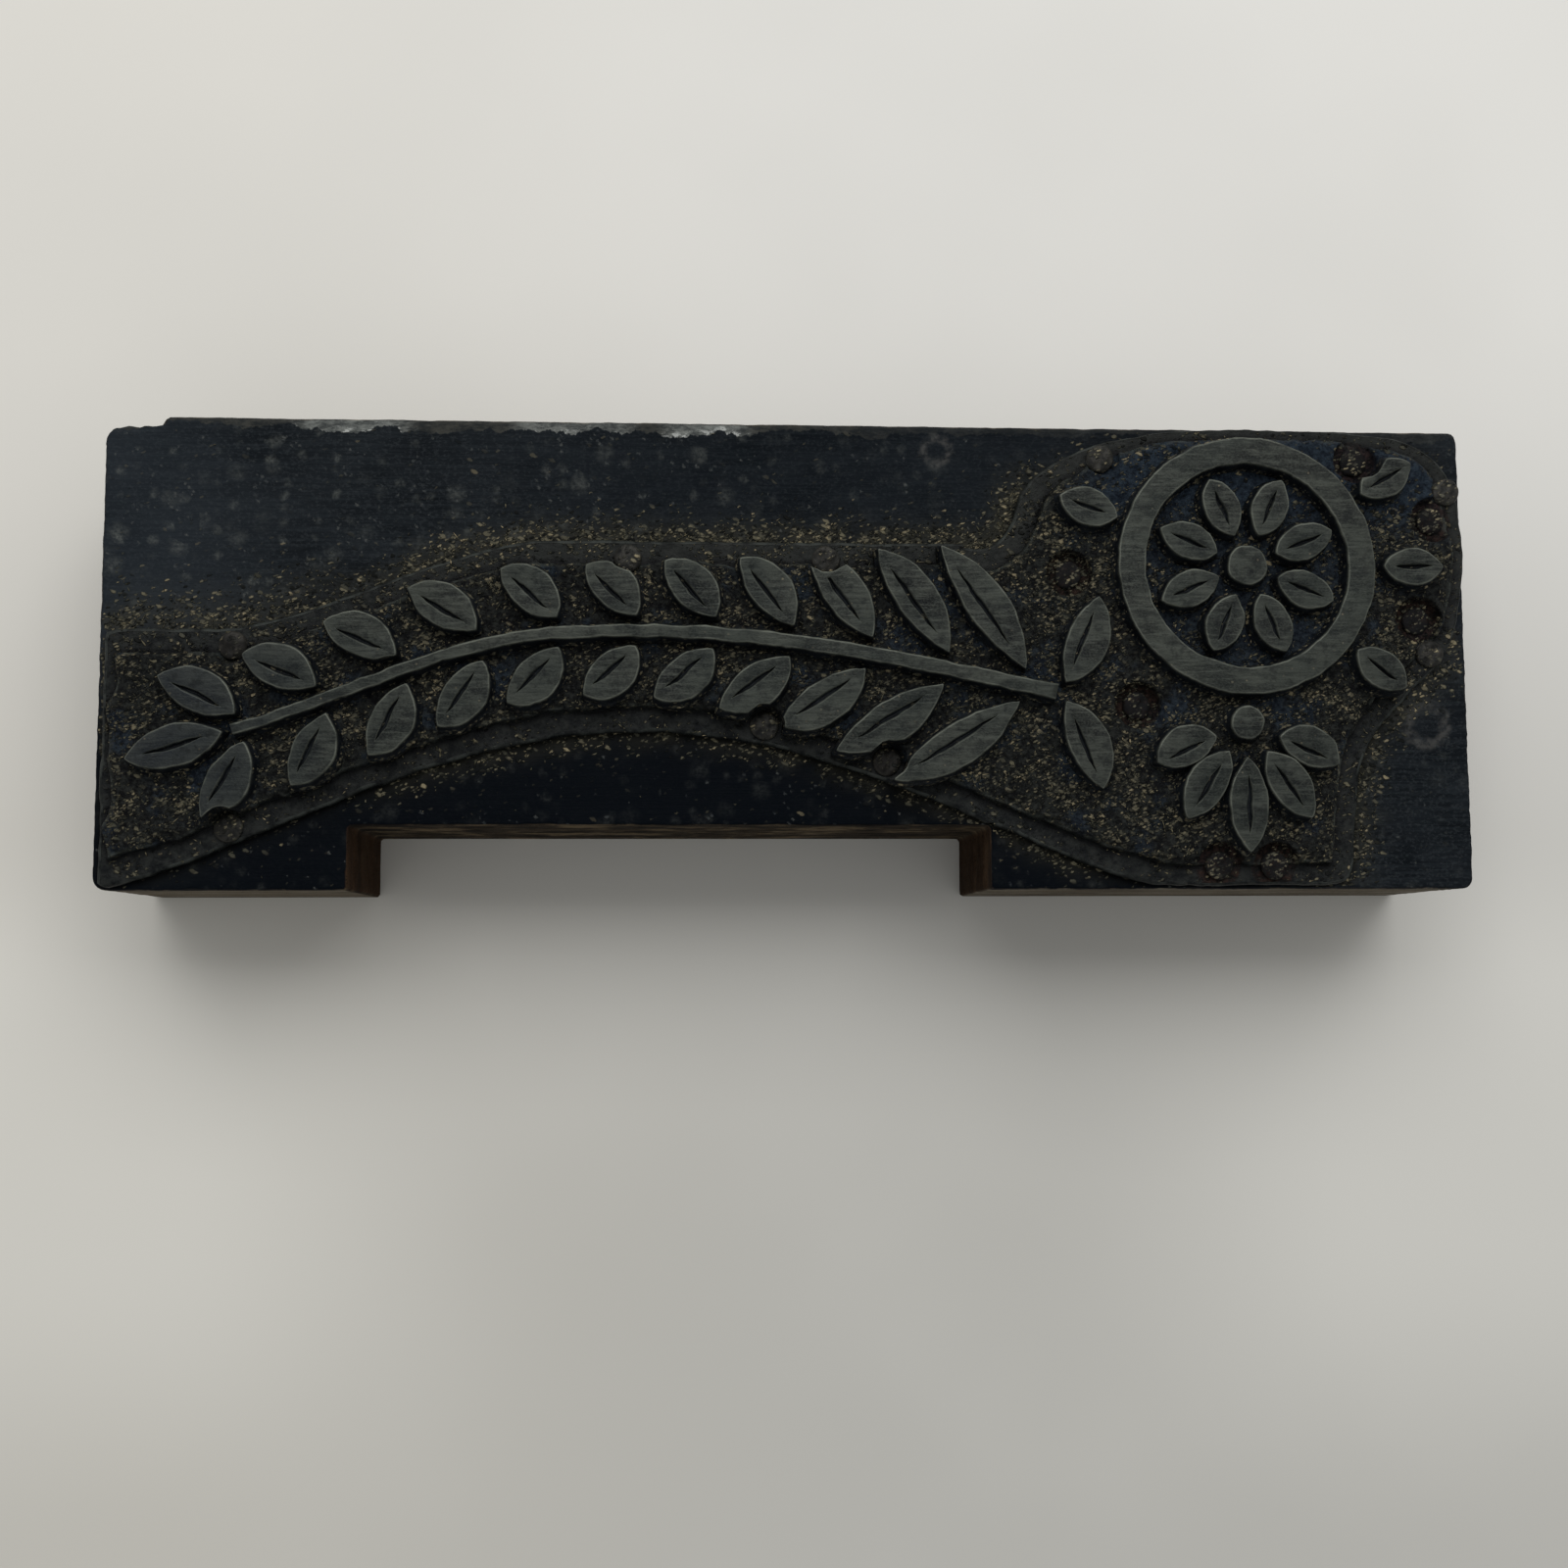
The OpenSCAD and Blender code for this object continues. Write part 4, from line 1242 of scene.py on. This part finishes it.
def plate_skin():
    """Dried ink on rough metal: blue where it is clean, gritty where dust has settled, dark round
    the figures as painted shade, and a smoother dark skin on the flange with a painted highlight
    along its outer edge, a painted shadow at the foot of the rim and a painted highlight on its
    brink."""
    f = Finish("inky plate", Specular_IOR_Level=0.08)
    zone, rim, dust, blue, pit, foot, brink = [
        f.mark(m) for m in ("zone", "rim", "dust", "blue", "pit", "foot", "brink")]
    rough = f.noise(0.5, 6, 0.68)
    ink = f.layers((7, 8, 10), (rough, 0.38, 0.68, 1, (38, 40, 38)))
    blue_ink = f.layers((13, 21, 31), (rough, 0.35, 0.68, 1, (40, 51, 62)))
    bluish = f.maths("MAXIMUM", f.mask(f.noise(4.2), 0.5, 0.64, 0, 0.6), f.times(blue, 0.85))
    ink = f.colour(bluish, ink, blue_ink)
    skin = f.layers((9, 12, 14), (f.noise(1.2, 6, 0.7), 0.38, 0.62, 1, (32, 34, 33)),
                    (f.part(1), 2, 12, 0.35, (38, 40, 37)))
    ink = f.colour(zone, skin, ink)
    rust = f.layers((7, 5, 5), (rough, 0.38, 0.65, 1, (44, 29, 23)))
    ink = f.colour(f.times(pit, 0.8), ink, rust)
    on_flange = f.mask(f.noise(2.2, 4, 0.6), 0.36, 0.62, 0.15, 0.75)
    share = f.times(dust, f.mask(f.noise(3.2, 5, 0.65), 0.43, 0.58, 0.1, 0.95),
                    f.number(zone, on_flange, 1.0))
    ink, crumbs = grit(f, ink, share)
    ink = f.colour(f.lump((*pale_lump, floor_z), 0.55), ink, (150, 146, 136))
    # Painted light: a shadow along the foot of the rim, highlights on its brink and on the outer
    # edge
    for edge, size, detail, low, high, least, most, tone in (
            (foot, 1.6, 3, 0.3, 0.6, 0.45, 0.95, (3, 4, 6)),
            (brink, 1.3, 4, 0.42, 0.62, 0, 0.6, (66, 70, 66)),
            (rim, 1.4, 3, 0.4, 0.65, 0, 0.5, (62, 66, 63))):
        broken = f.mask(f.noise(size, detail), low, high, least, most)
        ink = f.colour(f.times(edge, broken), ink, tone)
    relief = f.plus(f.times(rough, f.number(zone, 0.8, 2.6)), f.times(crumbs, 1.2))
    gloss = f.plus(f.number(zone, 0.42, 0.55), f.times(crumbs, 0.3))
    return f.wire(Base_Color=ink, Roughness=gloss, Normal=f.bump(relief, 0.14, 1.0))


# The pale lump lies on the floor in front of the rearmost sunk nail
pale_lump = pit_nails[np.argmax(pit_nails @ [0.3, 1])] + [0.6, -3.3]
face_metal = worn_face_metal()
dress(plate_body, "printing_plate", plate_skin())
for piece in (garland_leaves, medallion_ring, palmette):
    dress(piece, "printing_plate", face_metal)

# %% [markdown]
# ## The nails
#
# The heads are small, flat and a little uneven, because they were hammered down and then
# rubbed with ink for years. Each is a profile carried round an axis, with a radius that
# wobbles and a crown that was beaten out of true. The same kind of nail is used on the
# flange and in the pits, where it is darker.

# %% Nails

# Each row: radius, and height over the seat of the head
nail_profile = np.array([
    [0.02, -12.9], [0.65, -11], [0.65, -0.05], [1.3, -0.02], [1.35, 0.08], [1.35, 0.24],
    [1.3, 0.36], [1.2, 0.44], [1.05, 0.485], [0.8, 0.51], [0.5, 0.53], [0.02, 0.545],
])


def nails(name, places, seat, seed):
    """Nails at their places: the profile round each axis, with a wobble and small dents."""
    r = np.random.default_rng(seed)
    t = np.linspace(0, 2 * np.pi, 40, endpoint=False)
    radius, height = nail_profile[:, :1], nail_profile[:, 1:]
    head = height > 0.2
    made = Surface("tint", "edge")
    for place in places:
        two, three, way = r.uniform(0, 2 * np.pi, 3)
        wobble = 0.97 + 0.02 * np.cos(2 * t + two) + 0.01 * np.cos(3 * t + three)
        x, y = radius * wobble * np.cos(t), radius * wobble * np.sin(t)
        spot = np.stack([x, y], -1) + r.uniform(-50, 50, 2)
        dents = head * 0.06 * np.minimum(ripple(spot, 1.1, 61) - 1, 0)
        lean = head * 0.05 * (np.cos(t - way) * radius / head_r - 1)
        rings = np.stack([x + place[0], y + place[1], seat + height + dents + lean], -1)
        made.loft(rings, low_cap=True, high_cap=True, tint=r.uniform(0, 1),
                  edge=smooth((nail_profile[:, 0] - 1.1) / 0.2) * (nail_profile[:, 1] > 0.1))
    return made.build(name, weld=0.0001)


def nail_steel(name, dark, pale, crust):
    """Dull steel under ink and dirt, paler where it was rubbed, with some crust."""
    f = Finish(name, Specular_IOR_Level=0.1)
    tint, edge = f.mark("tint"), f.mark("edge")
    cloud = f.noise(0.9, 5, 0.65)
    steel = f.layers(dark, (cloud, 0.35, 0.65, 1, pale), (tint, 0.75, 0.8, 0.5, (26, 24, 22)))
    steel = f.colour(f.times(edge, 0.3 - crust), steel, (72, 71, 66))
    dirt = f.mask(f.noise(0.6, 5, 0.7), 0.58 - crust, 0.7 - crust)
    steel = f.colour(f.times(dirt, 0.8), steel, (14, 15, 17))
    steel, crumbs = grit(f, steel, f.mask(cloud, 0.4, 0.7, 0.1 + crust, 0.45 + crust))
    relief = f.plus(cloud, f.times(crumbs, 0.9))
    return f.wire(Base_Color=steel, Roughness=f.plus(f.times(dirt, 0.3), 0.45),
                  Metallic=f.mask(dirt, 0.9, 0.1, 0, 0.4), Normal=f.bump(relief, 0.06, 0.8))


flange_steel = nail_steel("flange brad steel", (22, 23, 23), (48, 47, 44), 0.0)
pit_steel = nail_steel("pit brad steel", (8, 6, 6), (27, 20, 18), 0.2)
flange_brads = nails("flange_brads", flange_nails, flange_z, 62)
pit_brads = nails("pit_brads", pit_nails, pit_z, 63)
dress(flange_brads, "flange_nails", flange_steel)
dress(pit_brads, "pit_nails", pit_steel)

# %% [markdown]
# ## Wood dust
#
# The pale grit on the real block is fibre: thousands of slivers a fraction of a millimetre
# long, caught in the dried ink. A bump pattern alone looks painted on from the side, so
# real slivers are strewn as well. Each has six corners and eight small faces. They lie
# thickest on the floor of the plate and against the outside of the flange.

# %% Dust slivers


def spread_dust(count, seed):
    """Places for slivers: random points, kept by how dusty the surface is there."""
    r = np.random.default_rng(seed)
    reach = np.array([half_w, half_d]) - 0.8
    p = r.uniform(-reach, reach, (count, 2))
    p = p[inside(p, wood_edge)]
    in_plate = inside(p, plate_edge)
    on_floor = 0.6 * (1 - 0.8 * in_lobe(p)) * smooth(distance_to(p, figure_edges) / 0.5)
    chance = np.where(inside_rim(p) > 0.3, on_floor, 0.25)
    chance = np.where(in_plate, chance, 0.001 + 1.4 * dust_on_wood(p) ** 1.3)
    chance *= 0.55 + 0.8 * ripple(p, 2.8, 71)
    stay = (r.uniform(0, 1, len(p)) < chance) & ~covered(p, footprints, 0.25, 0)
    p, in_plate = p[stay], in_plate[stay]
    return np.column_stack([p, np.where(in_plate, plate_height(p), wood_top)])


def slivers(places, seed):
    """Six points and eight faces for each sliver: two tips and a flat diamond between."""
    r = np.random.default_rng(seed)
    n = len(places)
    length = 0.18 + 0.75 * r.beta(1.1, 4, n) + 0.8 * (r.uniform(0, 1, n) < 0.012)
    width, height = 0.035 + 0.06 * r.beta(2, 4, n), 0.03 + 0.05 * r.beta(2, 4, n)
    yaw, pitch = r.uniform(0, 2 * np.pi, n), r.normal(0, 0.2, n)
    along = np.stack([np.cos(yaw) * np.cos(pitch), np.sin(yaw) * np.cos(pitch), np.sin(pitch)], 1)
    across = np.stack([-np.sin(yaw), np.cos(yaw), 0 * yaw], 1)
    upward = np.cross(along, across)
    middle = places + [0, 0, 0.04]
    a, w, h = along * length[:, None] / 2, across * width[:, None], upward * height[:, None]
    waist = middle + along * (length * r.uniform(-0.2, 0.2, n))[:, None]
    corners = np.stack([middle - a, waist - w, waist + h, waist + w, waist - h, middle + a], 1)
    pattern = np.array([[0, 1, 2], [0, 2, 3], [0, 3, 4], [0, 4, 1],
                        [5, 2, 1], [5, 3, 2], [5, 4, 3], [5, 1, 4]])
    faces = (pattern[None] + 6 * np.arange(n)[:, None, None]).reshape(-1, 3)
    return corners.reshape(-1, 3), faces, np.repeat(r.uniform(0, 1, n), 6)


strewn = spread_dust(36000, 72)
sliver_points, sliver_faces, sliver_tint = slivers(strewn, 73)
print("slivers:", len(strewn))
dust = Surface("tint")
dust.add(sliver_points, [sliver_faces], tint=sliver_tint)
wood_dust = dust.build("wood_dust", weld=0)

# %% Finish of the slivers


def sliver_finish():
    """Dry fibre in tans and greys, a different one on each sliver."""
    f = Finish("dry fibre", Specular_IOR_Level=0.1)
    tint = f.mark("tint")
    body = f.layers((26, 27, 25), (tint, 0, 0.65, 1, (72, 70, 57)),
                    (tint, 0.65, 0.95, 1, (106, 99, 79)), (tint, 0.97, 1, 1, (148, 136, 109)))
    return f.wire(Base_Color=body, Roughness=f.mask(tint, 0, 1, 0.75, 0.95))


dress(wood_dust, None, sliver_finish())

# %% [markdown]
# ## Table top, light and camera
#
# The block lies on a plain pale table top. Daylight comes from a wide window behind it, so
# the front sides are in soft shade and the raised edges catch a little light. The camera
# looks almost straight down, from a point towards the front left.

# %% Table top
table_mesh = bpy.data.meshes.new("table_top")
table_mesh.from_pydata([(-2, -2, 0), (2, -2, 0), (2, 2, 0), (-2, 2, 0)], [], [(0, 1, 2, 3)])
table_top = in_scene("table_top", table_mesh)


def pale_laminate():
    """Plain pale laminate with painted light: paler towards the window and in front of both
    ends of the block, where it lightens their shadows; warmer at the left, with hardly visible
    clouding."""
    f = Finish("pale laminate", Specular_IOR_Level=0.25, Roughness=0.6)
    x, y = f.part(0), f.part(1)
    # Painted light: the laminate is painted paler towards the window, at the back
    paint = f.layers((180, 179, 174), (y, -60, 45, 1, (219, 218, 214)),
                     (x, 20, -75, 0.3, (208, 203, 191)))
    # Painted light: paler patches in front of both ends of the block lighten their shadows
    painted_light_before_ends = f.times(f.mask(f.maths("ABSOLUTE", x, 0), 25, 62, 0, 0.3),
                          f.mask(y, -14, -32), f.mask(y, -86, -56))
    paint = f.colour(painted_light_before_ends, paint, (238, 237, 231))
    paint = f.layers(paint, (f.noise(60, 3, 0.5), 0.35, 0.7, 0.25, (200, 199, 194)))
    return f.wire(Base_Color=paint)


table_mesh.materials.append(pale_laminate())

# %% Light


def window(name, place, aim, size, power, tone):
    """A wide soft area lamp at a place, turned towards what it should light."""
    lamp = bpy.data.lights.new(name, "AREA")
    lamp.shape = "RECTANGLE"
    lamp.size, lamp.size_y = size
    lamp.energy = power
    lamp.color = tone
    holder = in_scene(name, lamp)
    holder.location = place
    holder.rotation_euler = (Vector(aim) - Vector(place)).to_track_quat("-Z", "Y").to_euler()


window("window", (0.05, 0.66, 0.94), (0, 0, 0), (1.3, 0.8), 10.8, (1.0, 0.995, 0.985))
world = bpy.data.worlds.new("room")
world.use_nodes = True
room_light = world.node_tree.nodes["Background"].inputs
room_light["Color"].default_value = shade(216, 216, 215)
room_light["Strength"].default_value = 0.66
bpy.context.scene.world = world

# %% Camera
camera = bpy.data.cameras.new("camera")
camera.lens = 42.5
camera.sensor_width = 36
camera.clip_start = 0.01
viewer = in_scene("camera", camera)
viewer.location = (-0.01098, -0.02832, 0.18904)
viewer.rotation_euler = [math.radians(a) for a in (5.455, -3.279, -0.212)]
bpy.context.scene.camera = viewer
bpy.context.scene.view_settings.view_transform = "Standard"
